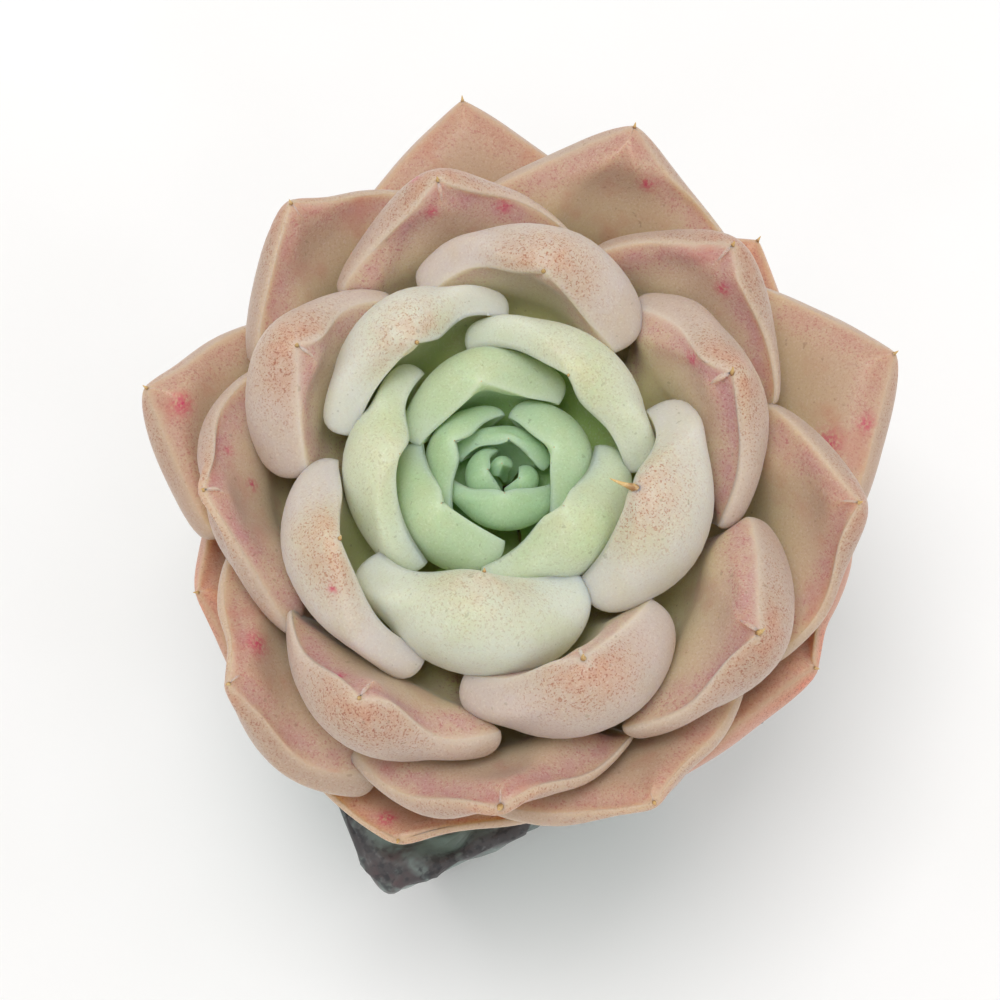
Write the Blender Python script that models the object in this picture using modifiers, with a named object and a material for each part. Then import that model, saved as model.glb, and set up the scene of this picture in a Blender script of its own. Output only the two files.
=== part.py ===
"""Potted rosette succulent: a square stoneware pot, potting grit, a stem and 38 fleshy leaves.

The leaves stand on the stem in a golden-angle spiral. Leaf 1 is the youngest, in the bud, and leaf 38
the oldest, at the bottom. Each is a ball whose points are carried onto a curved, cupped leaf blade,
and is then pressed clear of the younger leaves that lie on it.

Frame: +Z up, origin at the centre of the pot's underside, X and Y along the pot's sides. Lengths of the
pot, grit and stem are in metres. A leaf is worked out in millimetres from the tip of the bud.
"""

import math
from dataclasses import dataclass

import bmesh
import bpy
import numpy as np
from mathutils import Vector
from mathutils.bvhtree import BVHTree

MM = 0.001

# ---- Pot ---------------------------------------------------------------------------------------
POT_HEIGHT = 56.0 * MM
POT_TOP_SIDE = 61.0 * MM
POT_FOOT_SIDE = 43.0 * MM
POT_WALL = 3.6 * MM
POT_FLOOR = 4.5 * MM
POT_CORNER_RADIUS = 3.6 * MM
POT_EDGE_ROUNDING = 0.8 * MM
DRAIN_RADIUS = 2.0 * MM
DRAIN_SPACING = 16.0 * MM

# ---- Grit and stem -----------------------------------------------------------------------------
GRIT_BELOW_RIM = 6.0 * MM
CLEARANCE = 0.3 * MM
ROOT_DEPTH = 24.0 * MM
ROOT_END_RADIUS = 2.0 * MM
STEM_SEGMENTS = 20

# ---- Rosette: gaps, thicknesses and presses in mm ----------------------------------------------
GOLDEN_TURN = -137.508
FIRST_TURN = 214.7
LEAVES_ABOVE_RIM = 0.5 * MM
ROSETTE_X = 6.2 * MM
ROSETTE_Y = 6.4 * MM
LEAF_SEGMENTS = 12
LEAF_RINGS = 9
LEAF_GAP = 0.3
LEAF_LEAST_THICKNESS = 0.6
PRESS_STEP = 0.2
MOST_PRESSES = 90
PRESS_SLOPE = 0.6
STEM_GAP = 0.6
TOP_LEAF_ON_STEM = 9
LEAVES_PER_SEAT = 4

# Growth laws: (leaf number, value) points, joined by straight lines, in mm and degrees. Heights count
# from the tip of the bud, and pitches from the level. Fullness is how far the upper face crowns above the
# midline, as a share of how far the back stands out below it.
ROOT_RADIUS = ((1, 0.5), (8, 1.4), (15, 3.0), (25, 5.0), (38, 6.6))
ROOT_LIFT = ((1, -5.0), (8, -9.5), (15, -13.5), (25, -19.0), (38, -26.0))
ROOT_HALF_WIDTH = ((1, 0.3), (8, 0.9), (15, 2.0), (25, 2.8), (38, 3.4))
ROOT_THICKNESS = ((1, 0.4), (8, 0.9), (15, 1.5), (38, 2.0))
ROOT_PITCH = ((1, 75), (8, 30), (15, 5), (38, -4))
TIP_LIFT = (
    *((1, 0.0), (4, 1.5), (7, 4.0), (10, 6.5), (14, 8.5), (18, 8.5)),
    *((22, 7.5), (26, 4.0), (30, 1.0), (34, -9.0), (38, -16.0)),
)
TIP_PITCH = (
    *((1, 85), (6, 88), (10, 102), (13, 126), (17, 112), (18, 98)),
    *((20, 76), (24, 64), (28, 54), (32, 44), (38, 30)),
)
HALF_WIDTH = (
    *((1, 1.2), (3, 3.0), (5, 6.0), (7, 8.0), (9, 10.0), (11, 11.5)),
    *((15, 12.3), (22, 14.0), (28, 16.2), (38, 18.0)),
)
THICKNESS = ((1, 1.5), (3, 3.0), (7, 5.0), (10, 6.5), (15, 8.5), (25, 7.5), (30, 6.5), (38, 5.5))
FULLNESS = ((1, 0.15), (8, 0.25), (15, 0.2), (18, 0.5), (21, 1.0), (30, 1.0), (38, 0.5))
CURL = ((1, 60), (8, 60), (15, 58), (22, 42), (30, 32), (38, 26))
WIDEST = 0.72

# Each leaf's own habit: its turn from the golden angle in degrees, its tip's reach from the stem in mm,
# and its breadth and girth as multiples of the laws'.
HABIT = {
    1: (20, 1.4, 1.0, 1.0), 2: (0, 1.8, 1.0, 1.0), 3: (-8, 2.4, 1.0, 1.0), 4: (38, 2.5, 1.0, 1.0),
    5: (-10, 3.4, 1.0, 1.0), 6: (20, 6.5, 1.0, 1.0), 7: (20, 6.0, 1.0, 1.0), 8: (-6, 10.0, 1.0, 1.0),
    9: (25, 10.5, 1.0, 1.0), 10: (10, 9.5, 1.0, 1.0), 11: (12, 13.0, 1.0, 1.0), 12: (22, 11.0, 1.0, 1.0),
    13: (6, 15.5, 1.05, 1.2), 14: (13, 18.0, 1.0, 0.9), 15: (3, 14.5, 0.88, 1.15), 16: (9, 21.5, 1.0, 0.9),
    17: (16, 22.5, 0.95, 1.15), 18: (3, 27.5, 1.0, 0.95), 19: (4, 29.5, 1.0, 1.0), 20: (10, 27.5, 1.0, 1.2),
    21: (7, 35.5, 1.0, 1.0), 22: (8, 37.5, 1.0, 1.0), 23: (5, 37.5, 1.05, 1.0), 24: (5, 34.5, 1.0, 1.0),
    25: (2, 40.5, 1.0, 1.0), 26: (3, 38.0, 0.88, 1.0), 27: (0, 44.5, 1.0, 1.0), 28: (3, 43.5, 0.95, 1.0),
    29: (5, 39.5, 0.82, 0.9), 30: (-5, 50.0, 1.1, 1.0), 31: (-5, 43.5, 1.0, 1.0), 32: (4, 48.0, 0.92, 1.0),
    33: (-3, 53.5, 1.12, 1.0), 34: (7, 41.5, 1.15, 1.0), 35: (-12, 57.5, 1.0, 1.0), 36: (0, 44.5, 1.45, 1.1),
    37: (3, 41.5, 0.9, 1.0), 38: (-7, 51.5, 1.0, 1.0),
}

LEAF_COUNT = len(HABIT)

# Leaf colours down the rosette, as (leaf number, red, green, blue) in linear light.
LEAF_COLOURS = (
    (1, 0.22, 0.42, 0.27),
    (8, 0.40, 0.55, 0.33),
    (14, 0.62, 0.58, 0.48),
    (22, 0.62, 0.40, 0.32),
    (38, 0.58, 0.33, 0.22),
)
LEAF_ROUGHNESS = 0.55


def law(points, number):
    """Value of a growth law at a leaf number."""
    at, values = zip(*points)
    return float(np.interp(number, at, values))


def heading(degrees):
    """The unit vector at this pitch, as (outwards, upwards)."""
    angle = math.radians(degrees)
    return np.array([math.cos(angle), math.sin(angle)])


@dataclass
class Leaf:
    """One leaf's place and size, in mm and degrees, in the plane through the stem and its tip."""

    number: int
    turn: float
    root: np.ndarray
    root_pitch: float
    root_half_width: float
    root_thickness: float
    tip: np.ndarray
    tip_pitch: float
    half_width: float
    thickness: float
    fullness: float
    curl: float

    @classmethod
    def grown(cls, number):
        """The leaf of this number, from the growth laws and its own habit."""
        nudge, reach, breadth, girth = HABIT[number]
        return cls(
            number=number,
            turn=FIRST_TURN + GOLDEN_TURN * number + nudge,
            root=np.array([law(ROOT_RADIUS, number), law(ROOT_LIFT, number)]),
            root_pitch=law(ROOT_PITCH, number),
            root_half_width=law(ROOT_HALF_WIDTH, number),
            root_thickness=law(ROOT_THICKNESS, number),
            tip=np.array([reach, law(TIP_LIFT, number)]),
            tip_pitch=law(TIP_PITCH, number),
            half_width=law(HALF_WIDTH, number) * breadth,
            thickness=law(THICKNESS, number) * girth,
            fullness=law(FULLNESS, number),
            curl=law(CURL, number),
        )

    def spine(self, along):
        """Points and unit tangents of the blade's midline: a cubic curve from root to tip."""
        chord = np.linalg.norm(self.tip - self.root)
        first = self.root + 0.45 * chord * heading(self.root_pitch)
        second = self.tip - 0.42 * chord * heading(self.tip_pitch)
        t = along[:, None]
        s = 1 - t
        point = s**3 * self.root + 3 * s**2 * t * first + 3 * s * t**2 * second + t**3 * self.tip
        run = s**2 * (first - self.root) + 2 * s * t * (second - first) + t**2 * (self.tip - second)
        return point, run / np.linalg.norm(run, axis=1)[:, None]

    def width_at(self, along):
        """Half the blade's width."""
        rise = np.clip(along / WIDEST, 0, 1) ** 1.25
        fall = np.clip((along - WIDEST) / (1 - WIDEST), 0, 1)
        return (self.root_half_width + (self.half_width - self.root_half_width) * rise) * (1 - fall**1.45)

    def thickness_at(self, along):
        """How far the blade's back stands out below its midline."""
        rise = np.clip(along / WIDEST, 0, 1) ** 1.4
        fall = np.clip((along - WIDEST) / (1 - WIDEST), 0, 1)
        return (self.root_thickness + (self.thickness - self.root_thickness) * rise) * (1 - fall**2.6) ** 0.55

    def curl_at(self, along):
        """How far the blade turns up between midline and margin, in radians: little at its root."""
        return math.radians(self.curl) * (0.3 + 0.7 * np.clip(along / WIDEST, 0, 1))

    def turned(self, out, side, up):
        """Vectors in the leaf's own directions, turned about the stem into the pot's."""
        turn = math.radians(self.turn)
        x = out * math.cos(turn) - side * math.sin(turn)
        y = out * math.sin(turn) + side * math.cos(turn)
        return np.stack([x, y, up], axis=1)

    def surface(self, along, around):
        """Points of the blade, and the way down through it at each: less splayed where it is narrow.

        around runs from one margin (0) over the upper face to the other (pi), and back below.
        """
        point, tangent = self.spine(along)
        normal = np.stack([-tangent[:, 1], tangent[:, 0]], axis=1)
        across = np.sign(np.cos(around)) * np.abs(np.cos(around)) ** 0.9
        lift = np.sin(around)
        curl = self.curl_at(along)
        bend = curl * across
        radius = self.width_at(along) / curl
        depth = self.thickness_at(along)
        crown = self.fullness * depth * np.abs(lift) ** 1.4
        offset = np.where(lift > 0, crown, -depth * np.abs(lift) ** 0.95)
        side = (radius - offset) * np.sin(bend)
        rise = radius - (radius - offset) * np.cos(bend)
        place = self.turned(point[:, 0] + normal[:, 0] * rise, side, point[:, 1] + normal[:, 1] * rise)
        splay = bend * self.width_at(along) / self.half_width
        down = self.turned(-normal[:, 0] * np.cos(splay), np.sin(splay), -normal[:, 1] * np.cos(splay))
        return place, down


def from_lowest(face):
    """The face's points in the same turning order, from the lowest index on."""
    start = face.index(min(face))
    return face[start:] + face[:start]


@dataclass
class Ball:
    """A unit ball, with each point's place along a leaf (0 root, 1 tip) and around it."""

    along: np.ndarray
    around: np.ndarray
    faces: list
    partner: np.ndarray

    @classmethod
    def of(cls, segments, rings):
        """A ball of this many segments and rings. A point's partner is the one across the blade from it."""
        mesh = bmesh.new()
        bmesh.ops.create_uvsphere(mesh, u_segments=segments, v_segments=rings, radius=1)
        points = np.array([vert.co for vert in mesh.verts])
        # The operator lists the faces in an order of its own each run, and the presses follow that order.
        faces = sorted(from_lowest([vert.index for vert in face.verts]) for face in mesh.faces)
        mesh.free()
        ring = np.arccos(np.clip(-points[:, 2], -1, 1)) / math.pi * rings
        share = np.clip((ring - 1) / (rings - 1), 0, 1)
        around = np.arctan2(points[:, 1], points[:, 0])
        place = {}
        spots = []
        for index in range(len(points)):
            spot = (round(ring[index]), round(around[index] / math.tau * segments) % segments)
            place[spot] = index
            spots.append(spot)
        across = [(row, -column % segments) for row, column in spots]
        partner = np.array([place.get(other, index) for index, other in enumerate(across)])
        return cls(1 - (1 - share) ** 1.4, around, faces, partner)


def box_of(points, margin):
    """Lowest and highest corners of the points, grown by a margin."""
    return points.min(axis=0) - margin, points.max(axis=0) + margin


def boxes_meet(one, other):
    """Whether two (low, high) boxes overlap."""
    return bool((one[0] < other[1]).all() and (other[0] < one[1]).all())


@dataclass
class Body:
    """A finished leaf that older leaves are pressed clear of."""

    points: np.ndarray
    tree: BVHTree
    box: tuple

    @classmethod
    def of(cls, points, faces):
        """The body of these points, in mm, and faces."""
        return cls(points, BVHTree.FromPolygons(points.tolist(), faces), box_of(points, LEAF_GAP))


def too_near(tree, point, gap):
    """The face that this point is inside of or nearer to than the gap, or None."""
    spot, normal, face, distance = tree.find_nearest(Vector(point))
    if distance < gap or (Vector(point) - spot).dot(normal) < 0 and distance < 6 * gap:
        return face
    return None


def crowded(points, faces, younger):
    """Indices of the leaf's points that lie in or too near a younger leaf."""
    own = Body.of(points, faces)
    found = set()
    for body in younger:
        if not boxes_meet(own.box, body.box):
            continue
        for index, point in enumerate(points):
            if (point > body.box[0]).all() and (point < body.box[1]).all():
                if too_near(body.tree, point, LEAF_GAP) is not None:
                    found.add(index)
        for point in body.points:
            if (point > own.box[0]).all() and (point < own.box[1]).all():
                face = too_near(own.tree, point, LEAF_GAP)
                if face is not None:
                    found.update(faces[face])
        for face, _ in own.tree.overlap(body.tree):
            found.update(faces[face])
    return sorted(found)


def eased(shift, ends, spans):
    """The shift, raised where it would fall off along an edge more steeply than the press slope."""
    shift = shift.copy()
    for one, other in (ends, ends[::-1]):
        np.maximum.at(shift, one, shift[other] - spans * PRESS_SLOPE)
    return shift


def pressed(leaf, shape, younger):
    """The leaf's points, in mm, moved down through the blade until they clear the younger leaves."""
    rest, down = leaf.surface(shape.along, shape.around)
    lower = np.flatnonzero(shape.around < -0.01)
    upper = shape.partner[lower]
    thickness = np.linalg.norm(rest[upper] - rest[lower], axis=1)
    slack = np.maximum(thickness - LEAF_LEAST_THICKNESS, 0)
    pairs = {tuple(sorted(pair)) for face in shape.faces for pair in zip(face, face[1:] + face[:1])}
    ends = np.array(sorted(pairs)).T
    spans = np.linalg.norm(rest[ends[0]] - rest[ends[1]], axis=1)
    shift = np.zeros(len(rest))
    for _ in range(MOST_PRESSES):
        points = rest + shift[:, None] * down
        near = crowded(points, shape.faces, younger)
        if not near:
            break
        shift[near] += PRESS_STEP
        shift = eased(shift, ends, spans)
        shift[lower] = np.maximum(shift[lower], shift[upper] - slack)
    return points


def leaf_material(number):
    """The leaf's own colour, from the laws."""
    at, *channels = zip(*LEAF_COLOURS)
    colour = [float(np.interp(number, at, channel)) for channel in channels]
    return finish(f"leaf_{number:02d}_skin", colour, LEAF_ROUGHNESS)


def grown_rosette(shape):
    """Every leaf's points in mm from the tip of the bud, from the youngest leaf out."""
    younger = []
    for number in range(1, LEAF_COUNT + 1):
        points = pressed(Leaf.grown(number), shape, younger)
        younger.append(Body.of(points, shape.faces))
    return [body.points for body in younger]


def bud_height(rosette):
    """The height of the bud's tip, with the lowest leaf just above the pot's rim."""
    lowest = min(points[:, 2].min() for points in rosette) * MM
    return POT_HEIGHT + LEAVES_ABOVE_RIM - lowest


def add_leaves(rosette, shape, collection):
    """One object for each leaf, with its origin at the bud's tip."""
    for number, points in enumerate(rosette, start=1):
        data = bpy.data.meshes.new(f"leaf_{number:02d}")
        data.from_pydata(points * MM, [], shape.faces)
        data.materials.append(leaf_material(number))
        data.shade_smooth()
        leaf = bpy.data.objects.new(data.name, data)
        leaf.location = (ROSETTE_X, ROSETTE_Y, bud_height(rosette))
        collection.objects.link(leaf)


def finish(name, colour, roughness, metallic=0.0):
    """A Principled material."""
    material = bpy.data.materials.new(name)
    material.use_nodes = True
    shader = material.node_tree.nodes["Principled BSDF"]
    shader.inputs["Base Color"].default_value = (*colour, 1)
    shader.inputs["Roughness"].default_value = roughness
    shader.inputs["Metallic"].default_value = metallic
    return material


def mesh_object(name, mesh, collection):
    """An object of this bmesh, which is freed."""
    data = bpy.data.meshes.new(name)
    mesh.to_mesh(data)
    mesh.free()
    obj = bpy.data.objects.new(name, data)
    collection.objects.link(obj)
    return obj


def tapered_block(name, foot_side, top_side, height, corner, collection):
    """A square block that tapers from top to foot, with rounded upright corners, standing on its origin."""
    mesh = bmesh.new()
    half_diagonal = math.sqrt(0.5)
    bmesh.ops.create_cone(
        mesh,
        cap_ends=True,
        segments=4,
        radius1=foot_side * half_diagonal,
        radius2=top_side * half_diagonal,
        depth=height,
    )
    for vert in mesh.verts:
        x, y, z = vert.co
        side = foot_side / 2 if z < 0 else top_side / 2
        vert.co = (math.copysign(side, x - y), math.copysign(side, x + y), z + height / 2)
    upright = [edge for edge in mesh.edges if abs(edge.verts[0].co.z - edge.verts[1].co.z) > height / 2]
    bmesh.ops.bevel(mesh, geom=upright, offset=corner, segments=5, profile=0.5, affect="EDGES")
    return mesh_object(name, mesh, collection)


def cylinder(name, radius, depth, place, collection, segments=16):
    """An upright cylinder centred on a place."""
    mesh = bmesh.new()
    bmesh.ops.create_cone(mesh, cap_ends=True, segments=segments, radius1=radius, radius2=radius, depth=depth)
    obj = mesh_object(name, mesh, collection)
    obj.location = place
    return obj


def cut(target, cutter):
    """Takes the cutter out of the target."""
    modifier = target.modifiers.new(f"cut_{cutter.name}", "BOOLEAN")
    modifier.object = cutter
    modifier.operation = "DIFFERENCE"
    cutter.hide_render = True
    cutter.display_type = "WIRE"


def outer_side(height):
    """The pot's outer side at a height."""
    return POT_FOOT_SIDE + (POT_TOP_SIDE - POT_FOOT_SIDE) * height / POT_HEIGHT


def inner_side(height):
    """The pot's inner side at a height."""
    return outer_side(height) - 2 * POT_WALL


def add_pot(collection, cutters):
    """The pot: an open tapered block with four drain holes round the middle of its floor."""
    pot = tapered_block("pot", POT_FOOT_SIDE, POT_TOP_SIDE, POT_HEIGHT, POT_CORNER_RADIUS, collection)
    above = POT_WALL
    hollow = tapered_block(
        "pot_hollow",
        inner_side(POT_FLOOR),
        inner_side(POT_HEIGHT + above),
        POT_HEIGHT + above - POT_FLOOR,
        POT_CORNER_RADIUS - POT_WALL / 2,
        cutters,
    )
    hollow.location.z = POT_FLOOR
    cut(pot, hollow)
    for along_x in (-1, 1):
        for along_y in (-1, 1):
            place = (along_x * DRAIN_SPACING / 2, along_y * DRAIN_SPACING / 2, POT_FLOOR / 2)
            cut(pot, cylinder("drain", DRAIN_RADIUS, 2 * POT_FLOOR, place, cutters))
    rounding = pot.modifiers.new("edge_rounding", "BEVEL")
    rounding.width = POT_EDGE_ROUNDING
    rounding.segments = 2
    rounding.limit_method = "ANGLE"
    rounding.angle_limit = math.radians(50)
    pot.data.materials.append(finish("stoneware", (0.10, 0.12, 0.11), 0.35))


def stem_radius(number):
    """The stem's radius where this leaf grows from it."""
    return (law(ROOT_RADIUS, number) - STEM_GAP) * MM


def stem_profile(bud):
    """(radius, height) points of the stem, from its top down its outer side to the end of the root."""
    grit_top = POT_HEIGHT - GRIT_BELOW_RIM
    seats = [
        (stem_radius(number), bud + (law(ROOT_LIFT, number) - STEM_GAP) * MM)
        for number in range(TOP_LEAF_ON_STEM, LEAF_COUNT + 1, LEAVES_PER_SEAT)
    ]
    top = (0.0, seats[0][1] + CLEARANCE)
    trunk = [(stem_radius(LEAF_COUNT), grit_top + ROOT_DEPTH * share) for share in (0.02, -0.3)]
    root = [(ROOT_END_RADIUS, grit_top - ROOT_DEPTH), (0.0, grit_top - ROOT_DEPTH - ROOT_END_RADIUS / 2)]
    return [top, *seats, *trunk, *root]


def turned(name, profile, place, collection):
    """A solid turned about Z from a profile that starts and ends on the axis."""
    mesh = bmesh.new()
    verts = [mesh.verts.new((radius, 0, height)) for radius, height in profile]
    for one, other in zip(verts, verts[1:]):
        mesh.edges.new((one, other))
    obj = mesh_object(name, mesh, collection)
    obj.location = place
    screw = obj.modifiers.new("turn", "SCREW")
    screw.steps = screw.render_steps = STEM_SEGMENTS
    screw.use_merge_vertices = True
    screw.merge_threshold = 0.00001
    screw.use_smooth_shade = True
    return obj


def add_stem(profile, collection):
    """The stem and its tap root."""
    stem = turned("stem", profile, (ROSETTE_X, ROSETTE_Y, 0), collection)
    stem.data.materials.append(finish("corky_stem", (0.22, 0.16, 0.09), 0.8))


def add_grit(profile, collection, cutters):
    """The potting grit, which fills the pot to below its rim, with a hole for the stem's buried part."""
    low = POT_FLOOR + CLEARANCE
    high = POT_HEIGHT - GRIT_BELOW_RIM
    grit = tapered_block(
        "grit",
        inner_side(low) - 2 * CLEARANCE,
        inner_side(high) - 2 * CLEARANCE,
        high - low,
        POT_CORNER_RADIUS - POT_WALL / 2,
        collection,
    )
    grit.location.z = low
    mouth, *sides, end = [(radius + CLEARANCE, height) for radius, height in profile[-4:]]
    mouth = (mouth[0], high + CLEARANCE)
    room = [(0.0, mouth[1]), mouth, *sides, (0.0, end[1] - CLEARANCE)]
    cut(grit, turned("root_hole", room, (ROSETTE_X, ROSETTE_Y, 0), cutters))
    grit.data.materials.append(finish("potting_grit", (0.20, 0.15, 0.11), 0.9))


def main():
    """Builds the whole plant in its pot."""
    for obj in list(bpy.data.objects):
        bpy.data.objects.remove(obj)
    parts = bpy.data.collections.new("potted_succulent")
    cutters = bpy.data.collections.new("cutters")
    cutters.hide_render = True
    for collection in (parts, cutters):
        bpy.context.scene.collection.children.link(collection)
    shape = Ball.of(LEAF_SEGMENTS, LEAF_RINGS)
    rosette = grown_rosette(shape)
    profile = stem_profile(bud_height(rosette))
    add_pot(parts, cutters)
    add_grit(profile, parts, cutters)
    add_stem(profile, parts)
    add_leaves(rosette, shape, parts)


if __name__ == "__main__":
    main()
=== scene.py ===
"""Potted rosette succulent: the looks of 38 fleshy leaves on a corky stem in a square stoneware pot.

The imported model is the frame. Each piece here is a finer mesh that stands for the node of its name. A
leaf's blade follows the growth laws of its node, in millimetres from the tip of the bud, on a lattice
that is fine enough for its rounded margin, and it is pressed down by its neighbours as far as its node
is.
"""

from __future__ import annotations

import logging
import math
from dataclasses import dataclass, replace
from enum import Enum
from typing import Any

import bpy
import numpy as np
from mathutils import Matrix, Vector, noise


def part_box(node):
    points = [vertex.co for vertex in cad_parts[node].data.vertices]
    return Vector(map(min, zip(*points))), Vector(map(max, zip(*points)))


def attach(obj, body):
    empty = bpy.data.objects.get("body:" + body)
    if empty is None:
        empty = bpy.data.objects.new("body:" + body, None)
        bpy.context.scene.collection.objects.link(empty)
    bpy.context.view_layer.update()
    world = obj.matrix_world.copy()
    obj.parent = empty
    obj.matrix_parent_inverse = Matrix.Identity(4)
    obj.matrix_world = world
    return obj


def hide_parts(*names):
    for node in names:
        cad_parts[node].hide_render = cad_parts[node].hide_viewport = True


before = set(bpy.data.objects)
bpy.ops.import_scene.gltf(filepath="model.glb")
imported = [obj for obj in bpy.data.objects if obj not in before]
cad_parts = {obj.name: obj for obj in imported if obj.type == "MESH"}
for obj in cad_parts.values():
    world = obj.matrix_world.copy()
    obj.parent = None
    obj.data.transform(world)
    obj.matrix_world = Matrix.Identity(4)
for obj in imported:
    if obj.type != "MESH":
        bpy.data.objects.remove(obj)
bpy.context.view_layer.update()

MM = 0.001
BODY = "root"
LOG = logging.getLogger("potted_succulent")

Colour = tuple[float, float, float]
Curve = tuple[tuple[float, float], ...]

# ---- Growth laws ---------------------------------------------------------------------------------
# (leaf number, value) points joined by straight lines, in mm and degrees, the same as the nodes'.
# Heights count from the tip of the bud, and pitches from the level. Fullness is how far the upper face
# crowns above the midline, as a share of how far the back stands out below it.
GOLDEN_TURN = -137.508
FIRST_TURN = 214.7
ROOT_RADIUS = ((1, 0.5), (8, 1.4), (15, 3.0), (25, 5.0), (38, 6.6))
ROOT_LIFT = ((1, -5.0), (8, -9.5), (15, -13.5), (25, -19.0), (38, -26.0))
ROOT_HALF_WIDTH = ((1, 0.3), (8, 0.9), (15, 2.0), (25, 2.8), (38, 3.4))
ROOT_THICKNESS = ((1, 0.4), (8, 0.9), (15, 1.5), (38, 2.0))
ROOT_PITCH = ((1, 75), (8, 30), (15, 5), (38, -4))
TIP_LIFT = (
    (1, 0.0), (4, 1.5), (7, 4.0), (10, 6.5), (14, 8.5), (18, 8.5),
    (22, 7.5), (26, 4.0), (30, 1.0), (34, -9.0), (38, -16.0),
)
TIP_PITCH = (
    (1, 85), (6, 88), (10, 102), (13, 126), (17, 112), (18, 98),
    (20, 76), (24, 64), (28, 54), (32, 44), (38, 30),
)
HALF_WIDTH = (
    (1, 1.2), (3, 3.0), (5, 6.0), (7, 8.0), (9, 10.0), (11, 11.5),
    (15, 12.3), (22, 14.0), (28, 16.2), (38, 18.0),
)
THICKNESS = ((1, 1.5), (3, 3.0), (7, 5.0), (10, 6.5), (15, 8.5), (25, 7.5), (30, 6.5), (38, 5.5))
FULLNESS = ((1, 0.15), (8, 0.25), (15, 0.2), (18, 0.5), (21, 1.0), (30, 1.0), (38, 0.5))
CURL = ((1, 60), (8, 60), (15, 58), (22, 42), (30, 32), (38, 26))

# What every blade has in common. First come shares: where along it is widest, how much of its chord
# each end of its midline follows its own pitch for, and how much of its curl its root has. Then come
# powers: how its width and its back swell towards the widest place and taper after it, how its tip
# closes, how its section rounds at the margin, over the crown and round the back, and how its rings
# crowd to the tip.
WIDEST = 0.72
ROOT_PULL, TIP_PULL = 0.45, 0.42
ROOT_CURL = 0.3
WIDTH_SWELL, WIDTH_TAPER = 1.25, 1.45
BACK_SWELL, BACK_TAPER, BACK_CLOSE = 1.4, 2.6, 0.55
MARGIN_ROUND, CROWN_ROUND, BACK_ROUND = 0.9, 1.4, 0.95
TIP_CROWDING = 1.4

# Each leaf's own habit: its turn from the golden angle in degrees, and its tip's reach from the stem in
# mm. Then, for those that differ, its breadth and its girth as multiples of the laws'.
HABIT = {
    1: (20, 1.4), 2: (0, 1.8), 3: (-8, 2.4), 4: (38, 2.5), 5: (-10, 3.4), 6: (20, 6.5), 7: (20, 6.0),
    8: (-6, 10.0), 9: (25, 10.5), 10: (10, 9.5), 11: (12, 13.0), 12: (22, 11.0), 13: (6, 15.5),
    14: (13, 18.0), 15: (3, 14.5), 16: (9, 21.5), 17: (16, 22.5), 18: (3, 27.5), 19: (4, 29.5),
    20: (10, 27.5), 21: (7, 35.5), 22: (8, 37.5), 23: (5, 37.5), 24: (5, 34.5), 25: (2, 40.5),
    26: (3, 38.0), 27: (0, 44.5), 28: (3, 43.5), 29: (5, 39.5), 30: (-5, 50.0), 31: (-5, 43.5),
    32: (4, 48.0), 33: (-3, 53.5), 34: (7, 41.5), 35: (-12, 57.5), 36: (0, 44.5), 37: (3, 41.5),
    38: (-7, 51.5),
}
BREADTH = {
    13: 1.05, 15: 0.88, 17: 0.95, 23: 1.05, 26: 0.88, 28: 0.95, 29: 0.82, 30: 1.1, 32: 0.92, 33: 1.12,
    34: 1.15, 36: 1.45, 37: 0.9,
}
GIRTH = {
    13: 1.2, 14: 0.9, 15: 1.15, 16: 0.9, 17: 1.15, 18: 0.95, 20: 1.2, 29: 0.9, 36: 1.1,
}

# The magenta scars of old knocks, as (along the leaf, degrees around it, radius in mm). Around runs
# from one margin (0) over the upper face (90) to the other (180), and the back is below 0.
BLEMISHES = {
    16: ((0.93, -60, 0.6),),
    20: ((0.9, 35, 0.9),),
    21: ((0.9, 140, 0.8),),
    22: ((0.86, 150, 0.9), (0.92, 60, 0.8), (0.97, -60, 0.7)),
    24: ((0.8, 100, 0.8), (0.86, 130, 0.6)),
    25: ((0.9, 115, 0.9),),
    26: ((0.95, -80, 0.9),),
    29: ((0.88, 110, 1.6),),
    30: ((0.9, 120, 1.0),),
    32: ((0.93, 75, 1.5),),
    33: ((0.8, 120, 1.8), (0.9, 150, 1.0)),
    34: ((0.93, 110, 1.2),),
}

# The spines that aren't the usual size, as (length in mm, lean to the side, droop), both in degrees.
SPINES = {
    15: (3.0, -2, 58),
    18: (1.5, 0, 10),
    20: (1.2, 25, 0),
    23: (1.7, 20, 0),
    24: (0.7, 0, 0),
    26: (2.1, -8, 0),
}

# How much of the freckling lies all over a leaf rather than at its tip, how far in mm that at the tip
# reaches, and the spines' usual length in mm.
FRECKLE_SPREAD = ((1, 0.3), (12, 0.3), (14, 0.08), (18, 0.12), (22, 0.3))
FRECKLE_REACH = ((1, 9.0), (12, 8.0), (14, 5.0), (18, 6.5), (22, 9.0))
SPINE_LENGTH = ((1, 0.06), (11, 0.08), (14, 1.0), (22, 0.9), (28, 0.8), (38, 0.8))


def law(points: Curve, number: float) -> float:
    """Reads a growth law.

    Args:
        points: The law's (leaf number, value) points.
        number: The leaf number to read it at.

    Returns:
        The value there.
    """
    at, values = zip(*points)
    return float(np.interp(number, at, values))


def heading(degrees: float) -> np.ndarray:
    """Returns the unit vector at this pitch, as (outwards, upwards)."""
    angle = math.radians(degrees)
    return np.array([math.cos(angle), math.sin(angle)])


def eased(values: np.ndarray, low: float, high: float) -> np.ndarray:
    """Runs values smoothly from 0 at low to 1 at high.

    Args:
        values: The values to ease.
        low: Where the step starts. It may be above high, and the step then runs down.
        high: Where the step ends.

    Returns:
        The eased values, 0 to 1.
    """
    share = np.clip((values - low) / (high - low), 0, 1)
    return share * share * (3 - 2 * share)


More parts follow.
